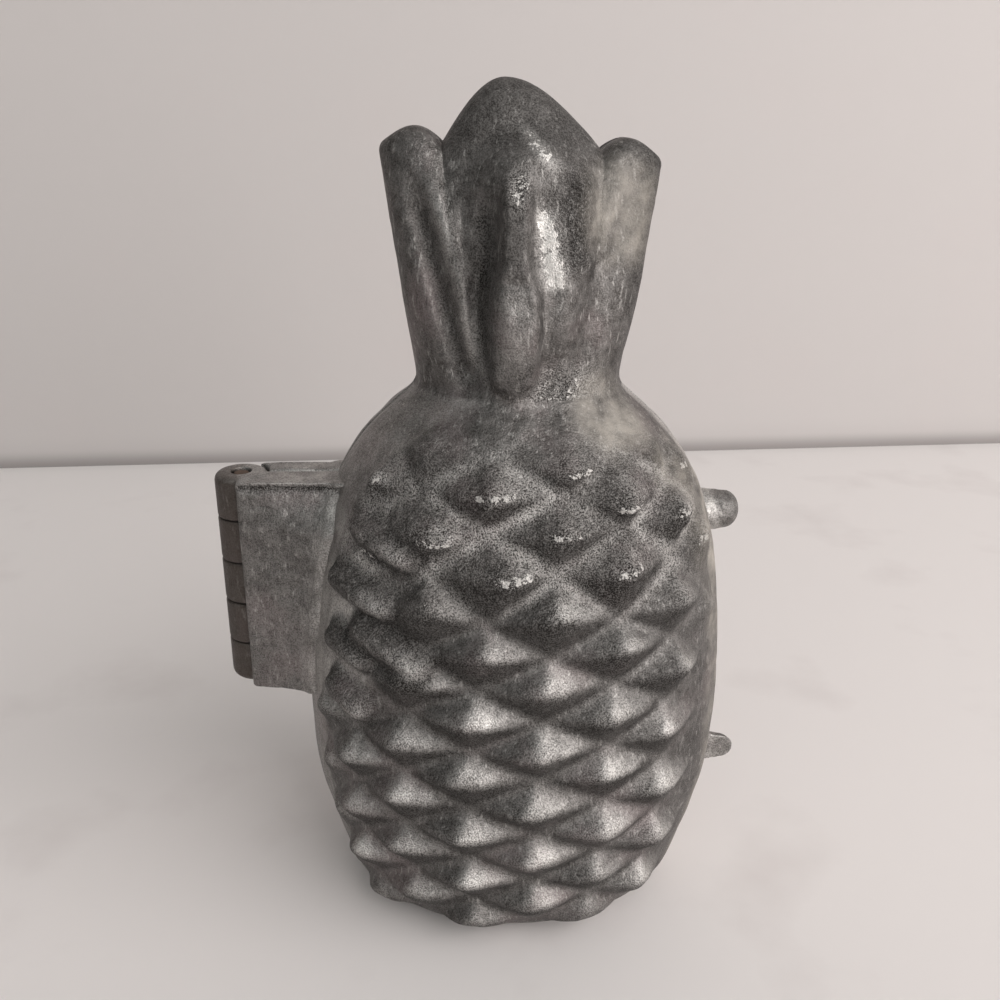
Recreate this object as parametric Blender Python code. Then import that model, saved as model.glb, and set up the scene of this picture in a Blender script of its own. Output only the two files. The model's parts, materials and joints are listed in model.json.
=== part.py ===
"""Hinged two-part ice cream mould in the shape of a pineapple, cast in pewter.

The pineapple stands on its foot, its axis upright. It is split by the plane y = 0 into a front half
(y < 0) and a rear half. A pin hinge at -X lets the front half swing open; a finger lug on each half at
+X pulls the two apart. The scales and the leaves are raised outside and hollowed inside alike, because
the cavity is what shapes the ice cream. The origin lies under the middle of the whole object.
"""

import math

import bmesh
import bpy
from mathutils import Matrix, Vector

MM = 0.001

# Overall sizes, in millimetres
total_height = 114.0
neck_height = 77.0
body_half_width = 29.7
depth_ratio = 0.78
wall = 2.8
gap = 0.3

# Profile of the body at the parting plane: height over neck_height, half width over body_half_width
profile_heights = (0.0, 0.10, 0.18, 0.28, 0.40, 0.52, 0.65, 0.75, 0.83, 0.90, 0.95, 1.0)
profile_widths = (0.825, 0.880, 0.937, 0.988, 1.0, 0.991, 0.952, 0.903, 0.825, 0.714, 0.594, 0.445)
foot_round_height = 6.0
foot_round_width = 5.5
floor_round = 3.0

# Scales: a staggered lattice, counted in half scales across and up. It leans towards the hinge lower
# down, and spreads near the neck. Places across are shares of the way round a half
columns_left = 4.5
columns_right = 4.5
column_step = 0.195
column_spread = 0.06
spread_from_row = 10.5
spread_to_row = 14.0
lean_foot = 0.08
lean_neck = 0.012
lean_from_row = 5.0
lean_to_row = 11.5
lean_full_column = 1.5
lean_none_column = 3.9
lug_side_from_row = 7.5
lug_side_full_row = 9.5
hinge_side_from_row = 4.5
hinge_side_full_row = 6.5
hinge_side_cut = 2.6
top_row = 15
bottom_row = -5.0 / 3.0
first_apex_height = 9.5
lattice_below_neck = 2.5
scale_height = 2.8
scale_height_shoulder = 2.0
shoulder_from = 0.5
shoulder_to = 0.85
scale_fade_rows = 1.6
valley_width = 0.10
foot_edge_height = 0.8

# Crown of three leaves: a domed lobe with a keel on the middle leaf, folds along the side leaves.
# The powers say how square its section and its edges are; climbs are shares of the crown's height
crown_half_width = 17.5
crown_top_depth = 6.2
neck_power = 2.0
crown_power = 3.2
crown_square_climb = 0.5
crest_power = 7
middle_leaf_share = 0.5
middle_leaf_x = -1.9
side_leaf_power = 0.9
leaf_valley_half = 9.7
leaf_valley_wall_share = 0.3
middle_leaf_rise = 7.6
side_leaf_rise = 1.6
leaf_corner_round = 1.7
leaf_corner_power = 4
crown_tilt = 0.045
lobe_half_width = 8.2
lobe_foot_half_width = 5.0
lobe_widest_climb = 0.62
lobe_full_climb = 0.35
keel_full_climb = 0.06
lobe_below_top = 5.6
lobe_top_round = 8.0
lobe_rise = 2.6
keel_x = -0.6
keel_half_width = 2.8
keel_below_top = 8.5
keel_top_taper = 5.0
keel_rise = 1.7
keel_groove_depth = 0.7
keel_groove_outside = 0.9
keel_groove_width = 1.1
fold_rise = 0.8
fold_width = 1.2
fold_outside_valley = 1.6
groove_depth = 1.3
groove_outside_fold = 2.3
groove_width = 1.4
fold_share_lug_side = 0.3
fold_soft_climb = 0.4
fold_full_climb = 0.75

# Hinge: five knuckles on an upright pin beside the body
hinge_height = 31.0
hinge_below_neck = 12.5
knuckle_count = 5
barrel_radius = 3.6
barrel_end_round = 1.0
pin_from_body = 7.7
pin_radius = 1.1
pin_recess = 0.25
pin_end_round = 0.3
front_leaf_thickness = 5.0
front_leaf_root_thickness = 8.8
rear_leaf_thickness = 3.2
rear_leaf_root_thickness = 5.0
leaf_edge_round = 0.5
leaf_root_share = 0.85

# Finger lugs: one below the neck on the front half, one above the foot on the rear half
front_lug_below_neck = 18.6
front_lug_length = 4.6
front_lug_root = 3.2
front_lug_tip = 2.7
rear_lug_height = 18.0
rear_lug_length = 5.7
rear_lug_root = 2.9
rear_lug_tip = 2.0
lug_root_inside = 2.0
lug_depth_ratio = 1.3
lug_end_length = 2.2

# Fineness of the meshes: steps per half scale, outside and inside, and sides of round pieces
outer_steps = 3
inner_steps = 2
crown_steps = 6
crown_crowding = 1.25
cutter_rings = 40
cutter_sides = 96
barrel_sides = 48
pin_sides = 24
lug_sides = 12
lug_end_steps = 7
sharp_degrees = 35.0

part_half = gap / 2.0


def smooth(low, high, value):
    """0 below low, 1 above high, and an S between them."""
    t = min(1.0, max(0.0, (value - low) / (high - low)))
    return t * t * (3.0 - 2.0 * t)


def mix(a, b, t):
    return a + (b - a) * t


def curve_through(xs, ys, x):
    """A smooth curve through the points, as one cubic between each two."""
    last = len(xs) - 1
    i = 0
    while i < last - 1 and x > xs[i + 1]:
        i += 1
    slopes = []
    for j in (i, i + 1):
        a, b = max(0, j - 1), min(last, j + 1)
        slopes.append((ys[b] - ys[a]) / (xs[b] - xs[a]))
    span = xs[i + 1] - xs[i]
    t = (x - xs[i]) / span
    return (
        (2 * t**3 - 3 * t**2 + 1) * ys[i]
        + (t**3 - 2 * t**2 + t) * span * slopes[0]
        + (3 * t**2 - 2 * t**3) * ys[i + 1]
        + (t**3 - t**2) * span * slopes[1]
    )


def quarter_round(distance, radius):
    """How far a rounded corner draws in at this distance from its end, as a share of its width."""
    t = 1.0 - min(1.0, max(0.0, distance / radius))
    return 1.0 - math.sqrt(1.0 - t * t)


def half_width(z):
    """Half width of the body at the parting plane."""
    width = body_half_width * curve_through(profile_heights, profile_widths, z / neck_height)
    return width - foot_round_width * quarter_round(z, foot_round_height)


def row_height(row):
    """Height of a row of the lattice."""
    span = neck_height - lattice_below_neck - first_apex_height
    return first_apex_height + span * row / top_row


def lattice_share(across, row):
    """Where a place of the lattice lies round a half, from -1 at the hinge to 1 at the lugs."""
    spread = column_spread * smooth(spread_from_row, spread_to_row, row)
    spread *= 1.0 - (across / columns_right) ** 2
    lean = mix(lean_foot, lean_neck, smooth(lean_from_row, lean_to_row, row))
    lean *= smooth(-lean_none_column, -lean_full_column, across)
    return across * (column_step + spread) - lean


def scale_share(across, row):
    """Height of the scales as a share of the highest, at a place counted in half scales.

    Each scale is a four-sided pyramid on a diamond. The outermost on either side are cast only further
    up."""
    hinge_side, lug_side = 1.0 - columns_left, columns_right - 1.0
    best = 0.0
    column = hinge_side
    while column < columns_right:
        du = abs(across - column)
        odd = int(round(column - 0.5)) % 2
        apex_row = odd + 2.0 * math.floor((row - odd + 1.0) / 2.0)
        if du < 1.0 and apex_row >= -1:
            height = 1.0 - du - abs(row - apex_row)
            if column == lug_side:
                height *= smooth(lug_side_from_row, lug_side_full_row, row)
            if column == hinge_side:
                height *= smooth(hinge_side_from_row, hinge_side_full_row, row)
            best = max(best, height)
        column += 1.0
    return max(0.0, best - valley_width) / (1.0 - valley_width)


def scale_relief(across, row):
    """The scales are lower on the shoulder, and die away at the neck and at the foot."""
    shoulder = smooth(shoulder_from * top_row, shoulder_to * top_row, row)
    height = mix(scale_height, scale_height_shoulder, shoulder)
    height *= 1.0 - smooth(top_row - scale_fade_rows, top_row, row)
    height *= smooth(bottom_row - scale_fade_rows / 2.0, bottom_row + scale_fade_rows / 2.0, row)
    return height * scale_share(across, row)


def body_point(share, across, row, z, inset):
    """A point of a half's outer face (inset 0) or its cavity (inset = wall), share running -1 to 1."""
    width = half_width(z) - inset
    depth = depth_ratio * half_width(z) - inset
    if inset > 0.0:
        drawn = floor_round * quarter_round(z - inset, floor_round)
        width -= drawn
        depth -= drawn
    turn = share * math.pi / 2.0
    x, y = width * math.sin(turn), depth * math.cos(turn)
    normal = Vector((math.sin(turn) / width, math.cos(turn) / depth)).normalized()
    rise = scale_relief(across, row)
    if x < 0.0:
        # Next to the hinge the scales are cut off, clear of the thicker leaf
        bare = front_leaf_root_thickness
        rise *= smooth(bare, bare + hinge_side_cut, y + inset)
    return Vector((x + normal.x * rise, -part_half - y - normal.y * rise, z))


def crown_outline(place, inset):
    """The scalloped top edge of the three leaves, -1 to 1 across, as place and height in millimetres.

    The middle leaf's tip stands a little to the hinge's side, and the leaf on that side is the higher."""
    valley_x = math.copysign(leaf_valley_half - inset * leaf_valley_wall_share, place)
    reach = abs(place)
    if reach <= middle_leaf_share:
        t = reach / middle_leaf_share
        x = mix(middle_leaf_x, valley_x, t)
        rise = middle_leaf_rise * max(0.0, math.cos(math.pi / 2.0 * t))
    else:
        t = (reach - middle_leaf_share) / (1.0 - middle_leaf_share)
        x = mix(valley_x, math.copysign(crown_half_width - inset, place), t)
        rise = side_leaf_rise * math.sin(math.pi * t**side_leaf_power)
    return x, total_height - inset - middle_leaf_rise + rise - crown_tilt * (x - middle_leaf_x)


def crown_relief(x, z):
    """What the lobe, its keel and the folds of the side leaves add to the plain depth of the crown."""
    climb = (z - neck_height) / (total_height - middle_leaf_rise - neck_height)
    lobe_edge = mix(lobe_foot_half_width, lobe_half_width, smooth(0.0, lobe_widest_climb, climb))
    round_from = total_height - lobe_below_top - lobe_top_round
    lobe_edge *= 1.0 - quarter_round(lobe_top_round - max(0.0, z - round_from), lobe_top_round)
    fold_x = mix(lobe_foot_half_width, leaf_valley_half + fold_outside_valley, climb)
    away = abs(x) - fold_x
    folds = fold_rise * math.exp(-((away / fold_width) ** 2))
    folds -= groove_depth * math.exp(-(((away - groove_outside_fold) / groove_width) ** 2))
    if x > 0.0:
        folds *= mix(fold_share_lug_side, 1.0, smooth(fold_soft_climb, fold_full_climb, climb))
    if lobe_edge > 0.1:
        folds += lobe_rise * max(0.0, 1.0 - (abs(x) / lobe_edge) ** 4)
    from_keel = abs(x - keel_x)
    beside = (from_keel - keel_half_width - keel_groove_outside) / keel_groove_width
    keel_top = total_height - keel_below_top
    keel = keel_rise * max(0.0, 1.0 - (from_keel / keel_half_width) ** 2)
    keel -= keel_groove_depth * math.exp(-(beside**2))
    keel *= 1.0 - smooth(keel_top - keel_top_taper, keel_top, z)
    return folds * smooth(0.0, lobe_full_climb, climb) + keel * smooth(0.0, keel_full_climb, climb)


def crown_point(share, place, climb, inset):
    """A point of the crown: climb runs from 0 at the neck to 1 at the leaves' edge."""
    neck = half_width(neck_height) - inset
    top_x, top_z = crown_outline(place, inset)
    foot_x = neck * math.sin(share * math.pi / 2.0)
    x = mix(foot_x, top_x, climb)
    z = mix(neck_height, top_z, climb)
    edge = mix(neck, crown_half_width - inset, climb)
    power = mix(neck_power, crown_power, smooth(0.0, crown_square_climb, climb))
    across = min(1.0, abs(x) / edge)
    side = max(0.0, 1.0 - across**power) ** (1.0 / power)
    crest = max(0.0, 1.0 - climb**crest_power) ** (1.0 / 3.0)
    plain = mix(depth_ratio * half_width(neck_height), crown_top_depth, climb) - inset
    depth = (plain + crown_relief(x, z)) * side * crest
    # The outer corners of the side leaves are round
    below = (1.0 - climb) * (total_height - middle_leaf_rise - neck_height)
    drawn = leaf_corner_round * quarter_round(below, leaf_corner_round) * across**leaf_corner_power
    return Vector((x - math.copysign(drawn, x), -part_half - depth, z))


def half_rows(steps):
    """The rows of a half, foot to crown, as kind, place in the lattice and level.

    The level of a body row is its height, and of a crown row its climb towards the leaves' edge."""
    rows = [("body", bottom_row - 1.0, 0.0)]
    if steps == outer_steps:
        rows.append(("body", bottom_row - 1.0, foot_edge_height))
    count = int(round((top_row - bottom_row) * steps))
    for i in range(count + 1):
        row = mix(bottom_row, top_row, i / count)
        rows.append(("body", row, row_height(row)))
    for i in range(1, 3):
        rows.append(("body", top_row + i / 3.0, mix(row_height(top_row), neck_height, i / 3.0)))
    count = crown_steps * steps
    for i in range(count + 1):
        rows.append(("crown", top_row + 1.0, 1.0 - (1.0 - i / count) ** crown_crowding))
    return rows


def half_columns(steps):
    """Across a half, -X to +X, as place in the lattice, share of the margin and place in the crown."""
    margins = (1.0, 0.75, 0.35) if steps == outer_steps else (1.0, 0.5)
    count = int(round((columns_left + columns_right) * steps))
    columns = [(-columns_left, margin) for margin in margins]
    columns += [(mix(-columns_left, columns_right, i / count), 0.0) for i in range(count + 1)]
    columns += [(columns_right, margin) for margin in reversed(margins)]
    last = len(columns) - 1
    return [(across, margin, 2.0 * i / last - 1.0) for i, (across, margin) in enumerate(columns)]


def face_point(row_record, column_record, inset):
    """A point of the outer face (inset 0) or of the cavity (inset = wall)."""
    kind, row, level = row_record
    across, margin, place = column_record
    share = mix(lattice_share(across, row), math.copysign(1.0, across), margin)
    share = mix(share, place, smooth(top_row - 1.0, top_row + 1.0, row))
    if kind == "crown":
        return crown_point(share, place, level, inset)
    z = level if inset == 0.0 else inset + level * (neck_height - inset) / neck_height
    return body_point(share, across, row, z, inset)


def between(first, second):
    """The record half way between two rows or two columns."""
    return tuple(a if isinstance(a, str) else (a + b) / 2.0 for a, b in zip(first, second))


def add_face(mesh, steps, inset):
    """Adds the outer face or the cavity. Each cell is split along the diagonal nearer the true form."""
    rows, columns = half_rows(steps), half_columns(steps)
    made = [[mesh.verts.new(face_point(row, column, inset)) for column in columns] for row in rows]
    for i in range(len(rows) - 1):
        for j in range(len(columns) - 1):
            a, b, c, d = made[i][j], made[i][j + 1], made[i + 1][j + 1], made[i + 1][j]
            row = between(rows[i], rows[i + 1])
            middle = face_point(row, between(columns[j], columns[j + 1]), inset)
            rising = ((a.co + c.co) / 2.0 - middle).length
            falling = ((b.co + d.co) / 2.0 - middle).length
            if rising < falling:
                mesh.faces.new((a, b, c))
                mesh.faces.new((a, c, d))
            else:
                mesh.faces.new((a, b, d))
                mesh.faces.new((b, c, d))
    centre = mesh.verts.new((0.0, -part_half, made[0][0].co.z))
    for left, right in zip(made[0], made[0][1:]):
        mesh.faces.new((centre, right, left))


def finish(mesh, name):
    """Turns a mesh drawn in millimetres about the pineapple's axis into an object in metres."""
    bmesh.ops.translate(mesh, verts=mesh.verts, vec=(axis_x, 0.0, 0.0))
    bmesh.ops.scale(mesh, verts=mesh.verts, vec=(MM, MM, MM))
    bmesh.ops.recalc_face_normals(mesh, faces=mesh.faces)
    data = bpy.data.meshes.new(name)
    mesh.to_mesh(data)
    mesh.free()
    data.shade_smooth()
    data.set_sharp_from_angle(angle=math.radians(sharp_degrees))
    made = bpy.data.objects.new(name, data)
    bpy.context.scene.collection.objects.link(made)
    return made


def shell(name, front):
    """One half: the outer face, the cavity, and the flat parting face between them."""
    mesh = bmesh.new()
    add_face(mesh, outer_steps, 0.0)
    add_face(mesh, inner_steps, wall)
    rim = [edge for edge in mesh.edges if edge.is_boundary]
    for edge in rim:
        for vert in edge.verts:
            vert.co.y = -part_half
    bmesh.ops.triangle_fill(mesh, edges=rim, use_beauty=True)
    if not front:
        bmesh.ops.scale(mesh, verts=mesh.verts, vec=(1.0, -1.0, 1.0))
    return finish(mesh, name)


def body_cutter():
    """The plain body without scales, one gap larger, that leaves and lugs are cut to."""
    mesh = bmesh.new()
    rings = []
    for i in range(cutter_rings + 1):
        z = neck_height * i / cutter_rings
        width = half_width(z) + gap
        depth = depth_ratio * half_width(z) + gap
        turns = [2.0 * math.pi * j / cutter_sides for j in range(cutter_sides)]
        rings.append([mesh.verts.new((width * math.cos(a), depth * math.sin(a), z)) for a in turns])
    for low, high in zip(rings, rings[1:]):
        for j in range(cutter_sides):
            k = (j + 1) % cutter_sides
            mesh.faces.new((low[j], low[k], high[k], high[j]))
    mesh.faces.new(reversed(rings[0]))
    mesh.faces.new(rings[-1])
    cutter = finish(mesh, "body_cutter")
    cutter.hide_render = True
    cutter.display_type = "WIRE"
    return cutter


def turned(name, radius, low, high, sides, low_round=0.0, high_round=0.0):
    """An upright round piece about the hinge pin's axis, with rounded edges at its ends."""
    profile = []
    for end, edge_round in ((low, -low_round), (high, high_round)):
        turns = (0.0, 30.0, 60.0, 90.0) if edge_round else (0.0,)
        for degrees in turns if edge_round > 0.0 else reversed(turns):
            turn = math.radians(degrees)
            drawn = abs(edge_round) * (1.0 - math.cos(turn))
            profile.append((radius - drawn, end - edge_round * (1.0 - math.sin(turn))))
    around = [2.0 * math.pi * j / sides for j in range(sides)]
    mesh = bmesh.new()
    rings = []
    for ring_radius, z in profile:
        ring = []
        for turn in around:
            x = ring_radius * math.cos(turn) - pin_from_axis
            ring.append(mesh.verts.new((x, ring_radius * math.sin(turn), z)))
        rings.append(ring)
    for ring, above in zip(rings, rings[1:]):
        for j in range(sides):
            k = (j + 1) % sides
            mesh.faces.new((ring[j], ring[k], above[k], above[j]))
    mesh.faces.new(reversed(rings[0]))
    mesh.faces.new(rings[-1])
    return finish(mesh, name)


def combine(target, tools, operation):
    """Applies one Boolean per tool and removes the tools."""
    for tool in tools:
        modifier = target.modifiers.new(operation.lower(), "BOOLEAN")
        modifier.operation = operation
        modifier.solver = "EXACT"
        modifier.object = tool
        view = bpy.context.evaluated_depsgraph_get()
        result = bpy.data.meshes.new_from_object(target.evaluated_get(view))
        target.modifiers.clear()
        old = target.data
        target.data = result
        bpy.data.meshes.remove(old)
    for tool in tools:
        bpy.data.objects.remove(tool)


def cut_to_body(piece, cutter):
    """Cuts a piece's end to the side of the body, one gap away from it."""
    body = cutter.copy()
    bpy.context.scene.collection.objects.link(body)
    combine(piece, [body], "DIFFERENCE")


def leaf_plate(name, side, thickness, root_thickness):
    """The plate of a leaf, from the pin's axis into the body, thicker towards the body.

    The outer face has rounded edges."""
    mesh = bmesh.new()
    bmesh.ops.create_cube(mesh, size=1.0)
    for vert in mesh.verts:
        outer, at_root = side * vert.co.y > 0.0, vert.co.x > 0.0
        outer_depth = root_thickness if at_root else thickness
        vert.co.x = -leaf_root_share * half_width(hinge_top) if at_root else -pin_from_axis
        vert.co.y = side * (outer_depth if outer else part_half)
        vert.co.z = hinge_bottom if vert.co.z < 0.0 else hinge_top
    outer_edges = [e for e in mesh.edges if all(abs(v.co.y) > part_half for v in e.verts)]
    bmesh.ops.bevel(mesh, geom=outer_edges, offset=leaf_edge_round, segments=3, profile=0.5, affect="EDGES")
    return finish(mesh, name)


def hinge_leaf(name, front, cutter):
    """A leaf: a plate against the body's side, and every other knuckle of the barrel."""
    if front:
        leaf = leaf_plate(name, -1.0, front_leaf_thickness, front_leaf_root_thickness)
    else:
        leaf = leaf_plate(name, 1.0, rear_leaf_thickness, rear_leaf_root_thickness)
    pitch = hinge_height / knuckle_count
    knuckles, clearances = [], []
    for i in range(knuckle_count):
        low = hinge_bottom + i * pitch
        high = low + pitch
        lowest, highest = i == 0, i == knuckle_count - 1
        if (i % 2 == 0) == front:
            knuckles.append(
                turned(
                    "knuckle",
                    barrel_radius,
                    low if lowest else low + part_half,
                    high if highest else high - part_half,
                    barrel_sides,
                    barrel_end_round if lowest else 0.0,
                    barrel_end_round if highest else 0.0,
                )
            )
        else:
            clear = barrel_radius + gap
            clearances.append(turned("clearance", clear, low - part_half, high + part_half, barrel_sides))
    bore = turned("bore", pin_radius + gap, hinge_bottom - gap, hinge_top + gap, pin_sides)
    combine(leaf, clearances, "DIFFERENCE")
    combine(leaf, knuckles, "UNION")
    combine(leaf, [bore], "DIFFERENCE")
    cut_to_body(leaf, cutter)
    return leaf


def lug(name, front, height, length, root_radius, tip_radius, cutter):
    """A half-round finger lug, flat at the parting plane, tapering to a rounded end."""
    side = -1.0 if front else 1.0
    root = half_width(height) - lug_root_inside
    reach = half_width(height) + length
    shoulder = reach - lug_end_length
    outline = [(root, root_radius), (shoulder, tip_radius)]
    for i in range(1, lug_end_steps):
        turn = math.pi / 2.0 * i / lug_end_steps
        outline.append((shoulder + lug_end_length * math.sin(turn), tip_radius * math.cos(turn)))
    mesh = bmesh.new()
    rings = []
    for x, radius in outline:
        ring = []
        for j in range(lug_sides + 1):
            turn = math.pi * j / lug_sides
            y = side * (part_half + lug_depth_ratio * radius * math.sin(turn))
            ring.append(mesh.verts.new((x, y, height + radius * math.cos(turn))))
        rings.append(ring)
    tip = mesh.verts.new((reach, side * part_half, height))
    for low, high in zip(rings, rings[1:]):
        for a, b, c, d in zip(low, low[1:], high[1:], high):
            mesh.faces.new((a, b, c, d))
    for a, b in zip(rings[-1], rings[-1][1:]):
        mesh.faces.new((a, b, tip))
    mesh.faces.new(rings[0])
    mesh.faces.new([ring[0] for ring in rings] + [tip] + [ring[-1] for ring in reversed(rings)])
    made = finish(mesh, name)
    cut_to_body(made, cutter)
    return made


def material(name, colour, metallic, roughness):
    made = bpy.data.materials.new(name)
    made.use_nodes = True
    shader = made.node_tree.nodes["Principled BSDF"]
    shader.inputs["Base Color"].default_value = (*colour, 1.0)
    shader.inputs["Metallic"].default_value = metallic
    shader.inputs["Roughness"].default_value = roughness
    return made


for old in list(bpy.data.objects):
    bpy.data.objects.remove(old, do_unlink=True)

hinge_top = neck_height - hinge_below_neck
hinge_bottom = hinge_top - hinge_height
front_lug_height = neck_height - front_lug_below_neck
pin_from_axis = body_half_width + pin_from_body
lug_reach = max(
    half_width(front_lug_height) + front_lug_length, half_width(rear_lug_height) + rear_lug_length
)
axis_x = (pin_from_axis + barrel_radius - lug_reach) / 2.0
pin_x = axis_x - pin_from_axis

cutter = body_cutter()
front_shell = shell("front_shell", True)
rear_shell = shell("rear_shell", False)
front_leaf = hinge_leaf("front_hinge_leaf", True, cutter)
rear_leaf = hinge_leaf("rear_hinge_leaf", False, cutter)
front_lug = lug(
    "front_lug", True, front_lug_height, front_lug_length, front_lug_root, front_lug_tip, cutter
)
rear_lug = lug(
    "rear_lug", False, rear_lug_height, rear_lug_length, rear_lug_root, rear_lug_tip, cutter
)
pin = turned(
    "hinge_pin",
    pin_radius,
    hinge_bottom + pin_recess,
    hinge_top - pin_recess,
    pin_sides,
    pin_end_round,
    pin_end_round,
)

looks = (
    (front_shell, (0.110, 0.106, 0.100), 0.9, 0.48),
    (rear_shell, (0.095, 0.091, 0.086), 0.9, 0.52),
    (front_leaf, (0.105, 0.100, 0.098), 0.9, 0.55),
    (rear_leaf, (0.100, 0.095, 0.090), 0.9, 0.55),
    (front_lug, (0.130, 0.125, 0.118), 0.9, 0.45),
    (rear_lug, (0.085, 0.082, 0.078), 0.9, 0.52),
    (pin, (0.085, 0.055, 0.035), 0.7, 0.65),
)
for made, colour, metallic, roughness in looks:
    made.data.materials.clear()
    made.data.materials.append(material(made.name, colour, metallic, roughness))

# The front half turns about the pin, so its pieces hang from an empty on the pin's axis
hinge_axis = bpy.data.objects.new("hinge_axis", None)
hinge_axis.location = (pin_x * MM, 0.0, (hinge_bottom + hinge_top) / 2.0 * MM)
bpy.context.scene.collection.objects.link(hinge_axis)
bpy.context.view_layer.update()
for made in (front_shell, front_leaf, front_lug):
    made.parent = hinge_axis
    made.matrix_parent_inverse = Matrix(hinge_axis.matrix_world).inverted()
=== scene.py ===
"""Looks of a hinged pewter ice cream mould in the shape of a pineapple, laid out as an add-on.

The CAD frame gives every piece its place. Here each piece is modelled again with the softness, dents and
wear of an old casting, and gets its patina. Shapes are drawn in millimetres about the pineapple's axis,
and turned to metres in the frame when a piece is finished.
"""

import functools
import json
import math

import bpy
import numpy as np
from bpy.props import FloatProperty, FloatVectorProperty, PointerProperty
from mathutils import Matrix, Vector, noise


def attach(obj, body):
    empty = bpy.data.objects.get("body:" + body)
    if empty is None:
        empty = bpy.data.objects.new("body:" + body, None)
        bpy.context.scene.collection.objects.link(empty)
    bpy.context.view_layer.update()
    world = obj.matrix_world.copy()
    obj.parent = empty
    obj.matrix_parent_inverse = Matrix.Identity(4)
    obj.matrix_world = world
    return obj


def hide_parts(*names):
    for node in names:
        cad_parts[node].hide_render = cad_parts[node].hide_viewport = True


bl_info = {
    "name": "Pineapple ice cream mould",
    "version": (1, 0, 0),
    "blender": (4, 5, 0),
    "location": "3D View > Sidebar > Mould",
    "description": "Models and finishes a hinged cast pewter mould on its CAD frame",
    "category": "Object",
}

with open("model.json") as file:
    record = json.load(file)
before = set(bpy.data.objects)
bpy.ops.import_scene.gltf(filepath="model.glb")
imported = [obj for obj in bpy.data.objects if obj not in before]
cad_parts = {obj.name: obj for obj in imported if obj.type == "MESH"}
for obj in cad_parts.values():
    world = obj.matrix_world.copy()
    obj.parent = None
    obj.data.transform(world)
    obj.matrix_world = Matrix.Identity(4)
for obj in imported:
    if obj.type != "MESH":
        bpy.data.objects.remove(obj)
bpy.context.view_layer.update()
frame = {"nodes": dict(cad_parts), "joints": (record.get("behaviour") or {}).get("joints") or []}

MM = 0.001

# The CAD part's own sizes, in millimetres about the pineapple's axis
TOTAL_HEIGHT = 114.0
NECK_HEIGHT = 77.0
BODY_HALF_WIDTH = 29.7
DEPTH_RATIO = 0.78
WALL = 2.8
PART_HALF = 0.15
PIN_FROM_AXIS = 37.4
BARREL_RADIUS = 3.6
HINGE_TOP = 64.5
HINGE_BOTTOM = 33.5
PROFILE_HEIGHTS = np.array((0.0, 0.10, 0.18, 0.28, 0.40, 0.52, 0.65, 0.75, 0.83, 0.90, 0.95, 1.0))
PROFILE_WIDTHS = np.array((0.825, 0.880, 0.937, 0.988, 1.0, 0.991, 0.952, 0.903, 0.825, 0.714, 0.594, 0.445))
FOOT_ROUND_HEIGHT = 6.0
FOOT_ROUND_WIDTH = 5.5
FLOOR_ROUND = 3.0

# How much closer the knuckles fit than in the CAD part, and the rough seam under the leaves' top edge
KNUCKLE_FIT = 0.08
SEAM_BELOW_TOP = 0.9
SEAM_DEPTH = 0.5

# Lattice of the scales, counted in half scales across and up. Places across are shares of the way round
COLUMNS_LEFT = 4.5
COLUMNS_RIGHT = 4.5
COLUMN_STEP = 0.195
COLUMN_SPREAD = 0.06
SPREAD_ROWS = (10.5, 14.0)
LEAN_FOOT = 0.055
LEAN_NECK = 0.012
LEAN_ROWS = (5.0, 11.5)
LUG_SIDE_ROWS = (7.5, 9.5)
HINGE_SIDE_ROWS = (4.5, 6.5)
HINGE_SIDE_DEPTHS = (9.6, 10.8)
TOP_ROW = 15
BOTTOM_ROW = -5.0 / 3.0
FIRST_APEX_HEIGHT = 9.5
ROW_PITCH = 4.3333
SCALE_DROP_BODY = 0.25
SCALE_DROP_SHOULDER = -0.30
DROP_ROWS = (9.5, 12.0)
SCALE_HEIGHT_SHOULDER = 3.1
# Tips of the shoulder's scales that the carver set off their usual place: column and row, then how far off
CARVED_TIPS = {
    (4, 14): (0.28, -0.42),
    (3, 13): (0.12, 0.08),
    (5, 13): (0.0, -0.45),
    (4, 12): (0.03, 0.08),
    (2, 12): (0.30, -0.25),
    (3, 11): (0.38, 0.08),
    (5, 11): (0.0, 0.05),
    (4, 10): (0.0, 0.40),
    (2, 10): (0.25, 0.45),
}
# Scales next to the leaf, which run into it as round fingers: nose and tip of each, as columns and rows
FINGERS = (
    ((-2.72, 12.0), (-1.75, 11.5)),
    ((-3.20, 10.4), (-2.05, 9.95)),
    ((-3.12, 8.5), (-2.35, 8.2)),
    ((-3.02, 6.95), (-2.30, 6.5)),
    ((-2.50, 9.05), (-1.35, 8.4)),
)
FINGER_HALF_WIDTH = 0.50
FINGER_HEIGHT = 0.66
COLUMN_IN_ROWS = 1.9
# Rows over which the body's scales turn into the shoulder's, in height and in finish, and the leaf's rows
SHOULDER_ROWS = (9.0, 13.5)
HIGH_ROWS = (9.3, 11.8)
LEAF_FOOT_ROWS = (5.5, 7.0)
LEAF_TOP_ROWS = (12.0, 13.5)

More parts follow.
